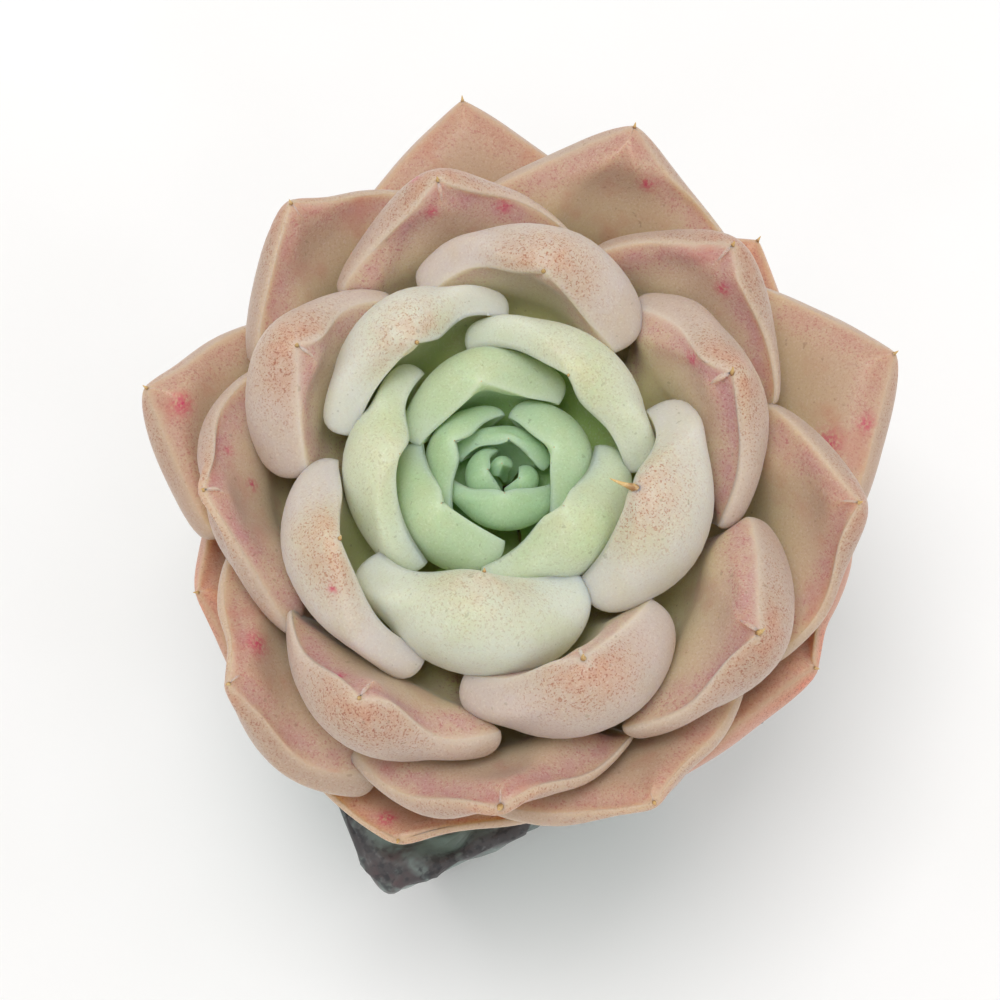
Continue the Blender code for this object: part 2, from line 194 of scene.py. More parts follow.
def hump(values: np.ndarray, centre: float, width: float) -> np.ndarray:
    """Returns a bell of height 1 round the centre, down to 0.37 one width away."""
    return np.exp(-(((values - centre) / width) ** 2))


def linear(colour: str) -> Colour:
    """Turns a colour into linear light.

    Args:
        colour: Its sRGB hex colour, such as "#8fb389".

    Returns:
        Its red, green and blue, 0 to 1.
    """
    channels = [int(colour[at : at + 2], 16) / 255 for at in (1, 3, 5)]
    red, green, blue = (c / 12.92 if c <= 0.04045 else ((c + 0.055) / 1.055) ** 2.4 for c in channels)
    return red, green, blue


def between(one: str, other: str, share: float) -> str:
    """Mixes two sRGB hex colours.

    Args:
        one: The colour at a share of 0.
        other: The colour at a share of 1.
        share: How far from the first to the second.

    Returns:
        The mixed sRGB hex colour.
    """
    pairs = [(int(one[at : at + 2], 16), int(other[at : at + 2], 16)) for at in (1, 3, 5)]
    return "#" + "".join(f"{round(a + (b - a) * share):02x}" for a, b in pairs)


def add_node(
    tree: bpy.types.NodeTree, kind: str, inputs: dict[Any, Any] | None = None, **settings: Any
) -> Any:
    """Adds a node with its settings and links.

    Args:
        tree: The node tree to add to.
        kind: The node's type name, without its "ShaderNode".
        inputs: A value, or a socket to link from, for each input by name or number.
        settings: The node's own properties.

    Returns:
        The new node.
    """
    node = tree.nodes.new("ShaderNode" + kind)
    for name, value in settings.items():
        setattr(node, name, value)
    for name, value in (inputs or {}).items():
        if isinstance(value, bpy.types.NodeSocket):
            tree.links.new(value, node.inputs[name])
        else:
            node.inputs[name].default_value = value
    return node


# ---- Finishes ------------------------------------------------------------------------------------
# How far apart the noises of a finish's layers lie, so that none follows another's.
LAYER_SEED = 1.7


@dataclass(frozen=True)
class Layer:
    """A colour that lies over those below it where its field and its grain let it show.

    Attributes:
        colour: Its sRGB hex colour. An AgedLayer gives its own.
        strength: The most that it covers, 0 to 1.
        field: The vertex attribute that masks it, or "" for all over.
        grain_mm: The size of the noise that breaks it up.
        low: The noise value where it starts to show.
        high: The noise value where it shows in full.
        detail: The noise's octaves.
    """

    colour: str = ""
    strength: float = 1.0
    field: str = ""
    grain_mm: float = 4.0
    low: float = 0.0
    high: float = 0.01
    detail: float = 2.0

    def over(self, tree: bpy.types.NodeTree, place: Any, below: Any, seed: float) -> Any:
        """Lays the colour over what is below it.

        Args:
            tree: The material's node tree.
            place: The socket of the pattern's coordinates, in metres.
            below: The colour socket below.
            seed: A number that keeps this layer's noise from following another's.

        Returns:
            The socket of the mixed colour.
        """
        grain = add_node(
            tree,
            "TexNoise",
            {"Vector": place, "W": seed, "Scale": 1 / (self.grain_mm * MM), "Detail": self.detail},
            noise_dimensions="4D",
        )
        cover = add_node(
            tree,
            "MapRange",
            {
                "Value": grain.outputs[0],
                "From Min": self.low,
                "From Max": self.high,
                "To Max": self.strength,
            },
            interpolation_type="SMOOTHSTEP",
        )
        mask = cover.outputs["Result"]
        if self.field:
            masked = add_node(tree, "Attribute", attribute_name=self.field)
            both = {0: mask, 1: masked.outputs["Fac"]}
            mask = add_node(tree, "Math", both, operation="MULTIPLY").outputs[0]
        colour = (*linear(self.colour), 1)
        mixed = add_node(tree, "Mix", {0: mask, 6: below, 7: colour}, data_type="RGBA")
        return mixed.outputs[2]


@dataclass(frozen=True)
class Finish:
    """A material of layered colours, with its gloss, its relief and the light that it lets in.

    Attributes:
        name: What the real material is.
        base: The sRGB hex colour under every layer.
        layers: The layers, from the lowest up.
        roughness: Its mean roughness.
        swing: How far the roughness varies either way.
        ior: Its index of refraction.
        relief_mm: The height of its fine relief.
        relief_grain_mm: The size of that relief.
        depth_mm: How far light travels in it, for red, green and blue.
        inside: The share of the light that does so.
        bloom: The strength of a powdery coat of wax.
        coat: The strength of a clear glossy coat.
    """

    name: str
    base: str
    layers: tuple[Layer, ...] = ()
    roughness: float = 0.5
    swing: float = 0.08
    ior: float = 1.45
    relief_mm: float = 0.02
    relief_grain_mm: float = 0.4
    depth_mm: tuple[float, float, float] = (1.0, 1.0, 1.0)
    inside: float = 0.0
    bloom: float = 0.0
    coat: float = 0.0

    def material(self) -> bpy.types.Material:
        """Builds the finish as a material.

        Returns:
            The material.
        """
        material = bpy.data.materials.new(self.name)
        material.use_nodes = True
        tree = material.node_tree
        tree.nodes.clear()
        place = add_node(tree, "TexCoord").outputs["Object"]
        ground = add_node(tree, "RGB")
        ground.outputs[0].default_value = (*linear(self.base), 1)
        colour = ground.outputs[0]
        for number, layer in enumerate(self.layers):
            colour = layer.over(tree, place, colour, number * LAYER_SEED)
        relief = add_node(
            tree,
            "TexNoise",
            {"Vector": place, "Scale": 1 / (self.relief_grain_mm * MM), "Detail": 3.0},
        )
        gloss = add_node(
            tree,
            "MapRange",
            {
                "Value": relief.outputs[0],
                "From Min": 0.3,
                "From Max": 0.7,
                "To Min": self.roughness - self.swing,
                "To Max": self.roughness + self.swing,
            },
        )
        bump = add_node(
            tree,
            "Bump",
            {"Height": relief.outputs[0], "Distance": self.relief_mm * MM, "Strength": 1.0},
        )
        shader = add_node(
            tree,
            "BsdfPrincipled",
            {
                "Base Color": colour,
                "Roughness": gloss.outputs["Result"],
                "Normal": bump.outputs["Normal"],
                "IOR": self.ior,
                "Subsurface Weight": self.inside,
                "Subsurface Radius": self.depth_mm,
                "Subsurface Scale": MM,
                "Sheen Weight": self.bloom,
                "Sheen Roughness": 0.4,
                "Coat Weight": self.coat,
            },
        )
        add_node(tree, "OutputMaterial", {"Surface": shader.outputs[0]})
        return material


# A dried leaf spine: horn, golden and half clear at its point and scorched brown at its base.
HORN = Finish(
    name="dried_horn",
    base="#dcb878",
    layers=(
        Layer("#8a5a34", 0.9, "spine_base", 0.6, 0.2, 0.6),
        Layer("#f0dcae", 0.5, "", 0.5, 0.5, 0.7),
    ),
    roughness=0.42,
    relief_mm=0.01,
    relief_grain_mm=0.15,
)

# Reduction-fired stoneware glaze: teal-grey and mottled where it runs thick, broken to slate and
# purple-brown where it runs thin on the rim and the corners, with a soft gloss.
GLAZE = Finish(
    name="stoneware_glaze",
    base="#a7bab3",
    layers=(
        Layer("#94b5ab", 0.7, "", 7.0, 0.35, 0.7),
        Layer("#c2cdca", 0.5, "", 3.0, 0.45, 0.75, 4.0),
        Layer("#7f8987", 0.4, "", 5.0, 0.45, 0.72, 4.0),
        Layer("#5a6f69", 0.75, "outside", 9.0, 0.1, 0.6, 4.0),
        Layer("#7d958d", 0.4, "outside", 2.4, 0.5, 0.75, 4.0),
        Layer("#4a4647", 1.0, "thin", 2.5, 0.18, 0.5),
        Layer("#5a4446", 0.75, "corner", 2.2, 0.35, 0.6),
        Layer("#303134", 0.7, "thin", 1.1, 0.5, 0.62),
        Layer("#9aa5a2", 0.15, "", 0.9, 0.6, 0.7),
    ),
    roughness=0.5,
    swing=0.1,
    ior=1.5,
    relief_mm=0.12,
    relief_grain_mm=1.6,
    coat=0.05,
)

# Bare fired stoneware on the foot and underneath: a matte grey-brown body with dark iron specks.
BISQUE = Finish(
    name="bare_stoneware",
    base="#8a7a6a",
    layers=(Layer("#6f6055", 0.6, "", 4.0, 0.4, 0.65), Layer("#3c302a", 0.9, "", 0.5, 0.66, 0.7)),
    roughness=0.85,
    ior=1.5,
    relief_mm=0.06,
    relief_grain_mm=0.5,
)

# Pumice: pale foamed rock, chalky, full of tiny pores.
PUMICE = Finish(
    name="pumice",
    base="#b9ac98",
    layers=(Layer("#d6cdbd", 0.7, "", 1.5, 0.45, 0.6), Layer("#7d6f5f", 0.8, "", 0.35, 0.58, 0.66)),
    roughness=0.9,
    relief_mm=0.15,
    relief_grain_mm=0.35,
)

# Lava rock: rust-brown cinder, rough and dull.
LAVA = Finish(
    name="lava_rock",
    base="#6a3b2c",
    layers=(Layer("#8a5440", 0.7, "", 1.2, 0.45, 0.62), Layer("#3a241f", 0.8, "", 0.4, 0.55, 0.65)),
    roughness=0.92,
    relief_mm=0.18,
    relief_grain_mm=0.4,
)

# Composted pine bark and peat: near-black brown, fibrous and matte.
BARK = Finish(
    name="composted_bark",
    base="#3b2c20",
    layers=(Layer("#574231", 0.7, "", 1.0, 0.48, 0.64), Layer("#1f1712", 0.7, "", 0.5, 0.52, 0.62)),
    roughness=0.88,
    relief_mm=0.12,
    relief_grain_mm=0.5,
)

# The old stem's cork: dry tan-brown skin over green, with darker leaf scars.
CORK = Finish(
    name="stem_cork",
    base="#7b6748",
    layers=(Layer("#97855f", 0.7, "", 1.6, 0.42, 0.62), Layer("#4d3c28", 0.8, "scar", 0.7, 0.3, 0.55)),
    roughness=0.8,
    relief_mm=0.08,
    relief_grain_mm=0.7,
)

# Matte studio board: an even, faintly warm white.
BOARD = Finish(
    name="studio_board",
    base="#fbfaf9",
    layers=(Layer("#f6f5f3", 0.5, "", 60.0, 0.35, 0.65),),
    roughness=0.85,
    swing=0.03,
    relief_mm=0.02,
    relief_grain_mm=2.0,
)


@dataclass(frozen=True)
class AgedLayer:
    """A layer of the leaves' skin whose colour and strength change from young leaves to old ones.

    Attributes:
        layer: The layer's field and grain.
        stops: (leaf number, sRGB hex colour, strength), from young to old.
    """

    layer: Layer
    stops: tuple[tuple[float, str, float], ...]

    def at(self, number: int) -> Layer:
        """Ages the layer.

        Args:
            number: The leaf's number.

        Returns:
            The layer as it is on that leaf.
        """
        ages = [stop[0] for stop in self.stops]
        spot = float(np.interp(number, ages, range(len(ages))))
        low = min(int(spot), len(ages) - 2)
        share = spot - low
        (_, young, weak), (_, old, strong) = self.stops[low], self.stops[low + 1]
        mixed = between(young, old, share)
        return replace(self.layer, colour=mixed, strength=weak + (strong - weak) * share)


@dataclass(frozen=True)
class LeafSkin:
    """Living leaf skin: smooth, satin, filled with water-clear flesh and dusted with pale wax.

    Young leaves are blue-green. Sun and age turn the older ones cream, then mauve and peach, with
    magenta under the margins, brown freckles of pigment cells on the back and olive in the hollow.
    """

    layers: tuple[AgedLayer, ...] = (
        AgedLayer(Layer(), (
            (1, "#9cc096", 1.0), (5, "#abcba2", 1.0), (8, "#b6cda6", 1.0), (11, "#cad2b4", 1.0),
            (14, "#cfcfbf", 1.0), (17, "#c8b9a8", 1.0), (20, "#c0ad98", 1.0), (24, "#b8a290", 1.0),
            (31, "#bca692", 1.0), (35, "#bfa48f", 1.0), (36, "#d2937a", 1.0), (38, "#c09a80", 1.0),
        )),
        AgedLayer(Layer(grain_mm=9.0, low=0.4, high=0.65), (
            (1, "#8fb58b", 0.4), (10, "#bccf9c", 0.5), (14, "#c6cba4", 0.5),
            (18, "#cbb0a0", 0.5), (28, "#b59884", 0.5), (38, "#b98e74", 0.5),
        )),
        AgedLayer(Layer(field="inner", grain_mm=6.0, low=-0.2, high=0.3), (
            (1, "#a8cda4", 0.9), (5, "#b8d8b0", 0.9), (9, "#b7cfa4", 0.9), (12, "#cdd0aa", 0.9),
            (16, "#d0c3a8", 0.9), (20, "#c8ac98", 0.9), (24, "#c3a694", 0.9), (28, "#c2a68f", 0.9),
            (33, "#c3a88e", 0.9), (38, "#c29f84", 0.9),
        )),
        AgedLayer(Layer(field="hollow", grain_mm=7.0, low=0.1, high=0.45), (
            (1, "#9cc492", 0.7), (9, "#a6d07c", 0.85), (12, "#badc84", 0.9), (18, "#dedc9a", 0.9),
            (24, "#dcd49c", 0.9), (32, "#d8ca94", 0.85), (38, "#c8ae84", 0.8),
        )),
        AgedLayer(Layer(field="blush", grain_mm=3.0, low=0.2, high=0.75, detail=4.0), (
            (1, "#b8708a", 0.0), (15, "#c79aa6", 0.15), (18, "#c495a0", 0.5), (20, "#bc8590", 0.7),
            (26, "#ba808a", 0.65), (30, "#bd8084", 0.45), (34, "#bd7c76", 0.35), (38, "#bb746a", 0.3),
        )),
        AgedLayer(Layer(field="patch", grain_mm=2.2, low=0.25, high=0.65, detail=4.0), (
            (1, "#cf8f6c", 0.0), (12, "#d09a72", 0.15), (14, "#c89a7a", 0.45), (18, "#c08a6e", 0.55),
            (26, "#bd7e64", 0.55), (31, "#be7f69", 0.45), (35, "#bd8270", 0.4), (36, "#dd8268", 0.7),
        )),
        AgedLayer(Layer(field="outer", grain_mm=5.0, low=0.15, high=0.6), (
            (1, "#bcd4b8", 0.15), (9, "#d6dfc8", 0.5), (13, "#d8dccf", 0.65), (16, "#d1cac8", 0.6),
            (20, "#c8b9b3", 0.4), (26, "#b8a599", 0.35), (38, "#b79f8e", 0.3),
        )),
        # The pale margin: partly the skin's own pale edge and partly a painted highlight along the
        # ridge.
        AgedLayer(Layer(field="margin", grain_mm=5.0, low=-0.2, high=0.35), (
            (1, "#bcd6b8", 0.25), (6, "#c6dabb", 0.4), (10, "#d6ddc1", 0.5), (14, "#e4dccb", 0.5),
            (18, "#d6c9bb", 0.6), (25, "#cab8a3", 0.65), (32, "#c6b098", 0.6), (38, "#c2a58a", 0.5),
        )),
        AgedLayer(Layer(field="freckle", grain_mm=0.24, low=0.52, high=0.64, detail=3.0), (
            (1, "#6c8a62", 0.15), (8, "#93976c", 0.2), (12, "#a08a68", 0.35), (15, "#ab7258", 0.8),
            (20, "#9c5d44", 0.85), (28, "#985842", 0.8), (38, "#94523e", 0.7),
        )),
        AgedLayer(Layer(field="pink_freckle", grain_mm=0.26, low=0.5, high=0.7, detail=3.0), (
            (1, "#a8506c", 0.0), (15, "#b5607a", 0.15), (20, "#ae5868", 0.65), (28, "#ad5763", 0.6),
            (38, "#a9524f", 0.55),
        )),
        AgedLayer(Layer(grain_mm=0.9, low=0.7, high=0.74, detail=1.0), (
            (1, "#54704e", 0.35), (12, "#7d7a58", 0.3), (38, "#8a5848", 0.35),
        )),
        AgedLayer(Layer(grain_mm=0.32, low=0.52, high=0.68, detail=3.0), (
            (1, "#cfe4cc", 0.15), (12, "#e9ecdc", 0.25), (20, "#e2d5c8", 0.25), (38, "#dcc6b2", 0.22),
        )),
        AgedLayer(Layer(field="inner", grain_mm=4.5, low=0.5, high=0.72, detail=4.0), (
            (1, "#a9cfa4", 0.0), (18, "#c2a08c", 0.1), (22, "#bd8378", 0.4), (30, "#bf8470", 0.45),
            (38, "#c0805f", 0.4),
        )),
        AgedLayer(Layer(field="spot", grain_mm=0.5, low=0.3, high=0.6, detail=3.0), (
            (1, "#c2305f", 0.9), (38, "#c2305f", 0.9),
        )),
    )

    def finish(self, number: int) -> Finish:
        """Works out one leaf's finish.

        Args:
            number: The leaf's number.

        Returns:
            The finish.
        """
        ground, *layers = (aged.at(number) for aged in self.layers)
        return Finish(
            name=f"leaf_skin_{number:02d}",
            base=ground.colour,
            layers=tuple(layers),
            roughness=0.45,
            swing=0.07,
            ior=1.4,
            relief_mm=0.012,
            relief_grain_mm=0.22,
            depth_mm=(5.0, 4.0, 2.2),
            inside=0.75,
            bloom=0.12,
        )


# ---- Mesh work -----------------------------------------------------------------------------------
def new_piece(
    name: str,
    points: np.ndarray,
    faces: list[list[int]],
    finishes: list[bpy.types.Material],
    fields: dict[str, np.ndarray] | None = None,
) -> bpy.types.Object:
    """Makes a smooth-shaded mesh object that rides on the plant's body.

    Args:
        name: The piece's name.
        points: Its points in metres, in the row frame.
        faces: The indices of each face's points, turning left seen from outside.
        finishes: Its materials.
        fields: Vertex attributes by name, a number for each point.

    Returns:
        The object.
    """
    mesh = bpy.data.meshes.new(name)
    mesh.from_pydata(points.tolist(), [], faces)
    for material in finishes:
        mesh.materials.append(material)
    for label, values in (fields or {}).items():
        attribute = mesh.attributes.new(label, "FLOAT", "POINT")
        attribute.data.foreach_set("value", np.asarray(values, np.float32))
    mesh.shade_smooth()
    piece = bpy.data.objects.new(name, mesh)
    bpy.context.scene.collection.objects.link(piece)
    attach(piece, BODY)
    return piece


def outward(points: np.ndarray, faces: list[list[int]]) -> np.ndarray:
    """Works out the unit normal at each point.

    Args:
        points: The mesh's points.
        faces: Its faces.

    Returns:
        One unit normal for each point.
    """
    mesh = bpy.data.meshes.new("normals")
    mesh.from_pydata(points.tolist(), [], faces)
    normals = np.empty(len(points) * 3, np.float32)
    mesh.vertex_normals.foreach_get("vector", normals)
    bpy.data.meshes.remove(mesh)
    return normals.reshape(-1, 3).astype(float)


@dataclass(frozen=True)
class Lumps:
    """Smooth noise that makes a grown or hand-made surface uneven.

    Attributes:
        size: The lumps' size, in the unit of the points that they are read at.
        height: How high they stand.
        seed: A shift that gives other noise.
    """

    size: float
    height: float
    seed: float

    def at(self, points: np.ndarray) -> np.ndarray:
        """Returns how high the lumps stand at each point, up or down."""
        shift = Vector((self.seed, self.seed * 0.7, -self.seed))
        return self.height * np.array([noise.noise(Vector(at) / self.size + shift) for at in points])


def tube_faces(rows: int, columns: int) -> list[list[int]]:
    """Lists the faces of a closed sleeve whose ends are closed by one point each.

    Args:
        rows: How many rings there are. The points come ring after ring, then the two end points.
        columns: How many points each ring has.

    Returns:
        The faces, facing out when rings turn left seen from the far end.
    """
    faces = []
    first, last = rows * columns, rows * columns + 1
    for column in range(columns):
        beside = (column + 1) % columns
        for row in range(rows - 1):
            low, high = row * columns, (row + 1) * columns
            faces.append([low + column, low + beside, high + beside, high + column])
        top = (rows - 1) * columns
        faces.append([first, beside, column])
        faces.append([last, top + column, top + beside])
    return faces


def circle(columns: int) -> np.ndarray:
    """Returns this many points (x, y) round a circle of radius 1, turning left."""
    turns = np.arange(columns) / columns * math.tau
    return np.stack([np.cos(turns), np.sin(turns)], axis=1)


def sleeve(rings: list[np.ndarray], ends: list[Any]) -> tuple[np.ndarray, list[list[int]]]:
    """Closes rings of points into a sleeve.

    Args:
        rings: The rings, each with as many points.
        ends: The point that closes the first ring, and the one that closes the last.

    Returns:
        The points and the faces.
    """
    return np.vstack([*rings, ends]), tube_faces(len(rings), len(rings[0]))


def smooth_read(table: np.ndarray, row: np.ndarray, column: np.ndarray) -> np.ndarray:
    """Reads a table between its entries with Catmull-Rom curves.

    Args:
        table: The values. Its columns run round, so the last is next to the first.
        row: Where to read, in rows.
        column: Where to read, in columns.

    Returns:
        The value at each place.
    """

    def weights(share: np.ndarray) -> list[np.ndarray]:
        """Returns the curve's weights for the entries at -1, 0, 1 and 2."""
        square, cube = share**2, share**3
        return [
            (-cube + 2 * square - share) / 2,
            (3 * cube - 5 * square + 2) / 2,
            (-3 * cube + 4 * square + share) / 2,
            (cube - square) / 2,
        ]

    rows, columns = table.shape
    low, left = np.floor(row).astype(int), np.floor(column).astype(int)
    total = np.zeros(len(row))
    for down, weight in enumerate(weights(row - low), start=-1):
        for along, other in enumerate(weights(column - left), start=-1):
            total += weight * other * table[np.clip(low + down, 0, rows - 1), (left + along) % columns]
    return total


# ---- Leaves --------------------------------------------------------------------------------------
class Stage(Enum):
    """The stages of a leaf's life. Each value names the stage's material slot, which no piece is given
    here.
    """

    BUD = "bud_leaf"
    INNER = "inner_leaf"
    MIDDLE = "middle_leaf"
    OUTER = "outer_leaf"

    @classmethod
    def of(cls, number: int) -> Stage:
        """Finds a leaf's stage.

        Args:
            number: The leaf's number.

        Returns:
            The stage.
        """
        ends = ((5, cls.BUD), (12, cls.INNER), (28, cls.MIDDLE))
        return next((stage for last, stage in ends if number <= last), cls.OUTER)


@dataclass(frozen=True)
class Lattice:
    """Points laid out along and around a blade: rings from root to tip, and a point at each end.

    Attributes:
        rows: How many rings there are.
        columns: How many points each ring has.
    """

    rows: int
    columns: int

    def shares(self) -> tuple[np.ndarray, np.ndarray]:
        """Lays out the rings' points.

        Returns:
            Each point's share of the rings and its angle around, ring after ring.
        """
        share = np.repeat(np.arange(self.rows) / self.rows, self.columns)
        around = np.tile(np.arange(self.columns) / self.columns * math.tau, self.rows)
        return share, around

    def places(self) -> tuple[np.ndarray, np.ndarray]:
        """Lays out every point, the end points last.

        Returns:
            How far along (0 at the root, 1 at the tip) and around each point is.
        """
        share, around = self.shares()
        along = 1 - (1 - share) ** TIP_CROWDING
        return np.append(along, (0.0, 1.0)), np.append(around, (0.0, 0.0))


@dataclass(frozen=True)
class Blade:
    """One leaf's blade, in mm and degrees, in the plane through the stem and its tip.

    Attributes:
        number: The leaf's number, 1 the youngest.
        turn: Its turn about the stem.
        root: Where it starts, as (outwards, upwards).
        tip: Where it ends.
        breadth: Its breadth as a multiple of the law's.
        girth: Its thickness as a multiple of the law's.
    """

    number: int
    turn: float
    root: np.ndarray
    tip: np.ndarray
    breadth: float
    girth: float

    @classmethod
    def grown(cls, number: int) -> Blade:
        """Grows a leaf's blade from the growth laws and its own habit.

        Args:
            number: The leaf's number.

        Returns:
            The blade.
        """
        nudge, reach = HABIT[number]
        return cls(
            number=number,
            turn=math.radians(FIRST_TURN + GOLDEN_TURN * number + nudge),
            root=np.array([law(ROOT_RADIUS, number), law(ROOT_LIFT, number)]),
            tip=np.array([reach, law(TIP_LIFT, number)]),
            breadth=BREADTH.get(number, 1.0),
            girth=GIRTH.get(number, 1.0),
        )

    def spine(self, along: np.ndarray) -> tuple[np.ndarray, np.ndarray]:
        """Follows the blade's midline, a cubic curve from root to tip.

        Args:
            along: How far along each point is.

        Returns:
            Points and unit tangents, as (outwards, upwards).
        """
        chord = np.linalg.norm(self.tip - self.root)
        first = self.root + ROOT_PULL * chord * heading(law(ROOT_PITCH, self.number))
        second = self.tip - TIP_PULL * chord * heading(law(TIP_PITCH, self.number))
        t = along[:, None]
        s = 1 - t
        point = s**3 * self.root + 3 * s**2 * t * first + 3 * s * t**2 * second + t**3 * self.tip
        run = s**2 * (first - self.root) + 2 * s * t * (second - first) + t**2 * (self.tip - second)
        return point, run / np.linalg.norm(run, axis=1)[:, None]

    @property
    def half_width(self) -> float:
        """Returns half the blade's width where it is widest."""
        return law(HALF_WIDTH, self.number) * self.breadth

    def swell(self, along: np.ndarray, root: float, most: float, power: float) -> np.ndarray:
        """Returns a measure that grows from the root's to the most at the widest place."""
        return root + (most - root) * np.clip(along / WIDEST, 0, 1) ** power

    def taper(self, along: np.ndarray, power: float) -> np.ndarray:
        """Returns the share of a measure that is left past the widest place, down to 0 at the tip."""
        return 1 - np.clip((along - WIDEST) / (1 - WIDEST), 0, 1) ** power

    def width_at(self, along: np.ndarray) -> np.ndarray:
        """Returns half the blade's width."""
        root = law(ROOT_HALF_WIDTH, self.number)
        return self.swell(along, root, self.half_width, WIDTH_SWELL) * self.taper(along, WIDTH_TAPER)

    def thickness_at(self, along: np.ndarray) -> np.ndarray:
        """Returns how far the blade's back stands out below its midline."""
        root, most = law(ROOT_THICKNESS, self.number), law(THICKNESS, self.number) * self.girth
        return self.swell(along, root, most, BACK_SWELL) * self.taper(along, BACK_TAPER) ** BACK_CLOSE

    def turned(self, out: np.ndarray, side: np.ndarray, up: np.ndarray) -> np.ndarray:
        """Turns vectors in the leaf's own directions about the stem, into the pot's."""
        cos, sin = math.cos(self.turn), math.sin(self.turn)
        return np.stack([out * cos - side * sin, out * sin + side * cos, up], axis=1)

    def surface(self, along: np.ndarray, around: np.ndarray) -> tuple[np.ndarray, np.ndarray]:
        """Lays points on the blade.

        Args:
            along: How far along each point is, 0 at the root and 1 at the tip.
            around: Its angle, from one margin (0) over the upper face to the other (pi), and back
                below.

        Returns:
            The points in mm from the bud's tip, and the way down through the blade at each.
        """
        point, tangent = self.spine(along)
        normal = np.stack([-tangent[:, 1], tangent[:, 0]], axis=1)
        across = np.sign(np.cos(around)) * np.abs(np.cos(around)) ** MARGIN_ROUND
        lift = np.sin(around)
        curl = math.radians(law(CURL, self.number)) * self.swell(along, ROOT_CURL, 1, 1)
        bend = curl * across
        radius = self.width_at(along) / curl
        depth = self.thickness_at(along)
        crown = law(FULLNESS, self.number) * depth * np.abs(lift) ** CROWN_ROUND
        offset = np.where(lift > 0, crown, -depth * np.abs(lift) ** BACK_ROUND)
        side = (radius - offset) * np.sin(bend)
        rise = radius - (radius - offset) * np.cos(bend)
        place = self.turned(point[:, 0] + normal[:, 0] * rise, side, point[:, 1] + normal[:, 1] * rise)
        splay = bend * self.width_at(along) / self.half_width
        down = self.turned(-normal[:, 0] * np.cos(splay), np.sin(splay), -normal[:, 1] * np.cos(splay))
        return place, down


@dataclass(frozen=True)
class SkinMap:
    """Where each layer of a leaf's skin lies.

    Distances from the margin and the tip are in mm. A pair is where a zone is deepest and how far it
    reaches either way, or for the wax, the hollow and the rest where it starts and where it is full.

    Attributes:
        margin: Half the width of the raised pale margin. Its paleness is partly the skin's own and
            partly a painted highlight along the ridge.
        blush: The blush inside the margin.
        sides: Where the blush grows from the midline (0) to the margin (1).
        tan: The tanned patch by the tip.
        freckles: How far from the tip the freckles lie thickest.
        wax: The waxy bloom, by its distance from the tip.
        hollow: The clear hollow, by its share of the leaf's length.
        grown: The margin and the blush, by their share of the leaf's length.
        face: Where the upper face starts, by the sine of the angle around.
        thin_share: How much of the tan and the freckles the upper face has, and the midline of blush.
        tan_off_margin: How much of the tan the margin is clear of.
        freckles_off_margin: How much of the freckles the margin is clear of.
        pink: The pink freckles on the blush, and on the rest of the upper face.
    """

    margin: float = 0.75
    blush: tuple[float, float] = (2.8, 3.2)
    sides: tuple[float, float] = (0.2, 0.9)
    tan: tuple[float, float] = (1.5, 4.5)
    freckles: float = 2.5
    wax: tuple[float, float] = (5.0, 11.0)
    hollow: tuple[float, float] = (0.95, 0.5)
    grown: tuple[float, float] = (0.3, 0.6)
    face: tuple[float, float] = (-0.02, 0.1)
    thin_share: float = 0.35
    tan_off_margin: float = 0.6
    freckles_off_margin: float = 0.7
    pink: tuple[float, float] = (1.2, 0.15)

    def partly(self, mask: np.ndarray) -> np.ndarray:
        """Returns the mask with the thin share where it was 0."""
        return self.thin_share + (1 - self.thin_share) * mask

    def scars_of(
        self, number: int, points: np.ndarray, along: np.ndarray, around: np.ndarray
    ) -> np.ndarray:
        """Marks a leaf's blemishes.

        Args:
            number: The leaf's number.
            points: The leaf's points, in mm.
            along: How far along each is.
            around: Its angle around.

        Returns:
            How deep the magenta is at each point.
        """
        spot = np.zeros(len(points))
        for place, degrees, radius in BLEMISHES.get(number, ()):
            turn = (around - math.radians(degrees) + math.pi) % math.tau - math.pi
            centre = points[np.argmin((along - place) ** 2 + (0.3 * turn) ** 2)]
            spot = np.maximum(spot, hump(np.linalg.norm(points - centre, axis=1), 0, radius))
        return spot

    def fields_of(
        self, number: int, points: np.ndarray, lattice: Lattice, to_margin: np.ndarray
    ) -> dict[str, np.ndarray]:
        """Works out where each layer of the skin lies.

        Args:
            number: The leaf's number.
            points: The leaf's points, in mm.
            lattice: The lattice that they lie on.
            to_margin: How far each is from the nearer margin.

        Returns:
            The vertex attributes by name.
        """
        along, around = lattice.places()
        to_tip = np.linalg.norm(points - points[-1], axis=1)
        inner = eased(np.sin(around), *self.face)
        back = 1 - inner
        grown = eased(along, *self.grown)
        # The pale margin mask: it raises the ridge, and its colour is partly the skin's own and partly
        # a painted highlight along the ridge.
        margin = hump(to_margin, 0, self.margin) * grown
        under_margin = inner * hump(to_margin, *self.blush) * grown
        spread = law(FRECKLE_SPREAD, number)
        freckles = spread + (1 - spread) * hump(to_tip, self.freckles, law(FRECKLE_REACH, number))
        on_blush, on_face = self.pink
        return {
            "inner": inner,
            "hollow": inner * eased(along, *self.hollow),
            "blush": under_margin * self.partly(eased(np.abs(np.cos(around)), *self.sides)),
            "patch": hump(to_tip, *self.tan) * self.partly(back) * (1 - self.tan_off_margin * margin),
            "outer": back * eased(to_tip, *self.wax),
            "margin": margin,
            "freckle": self.partly(back) * freckles * (1 - self.freckles_off_margin * margin),
            "pink_freckle": np.clip(under_margin * on_blush + on_face * inner, 0, 1) * (1 - margin),
            "spot": self.scars_of(number, points, along, around),
        }


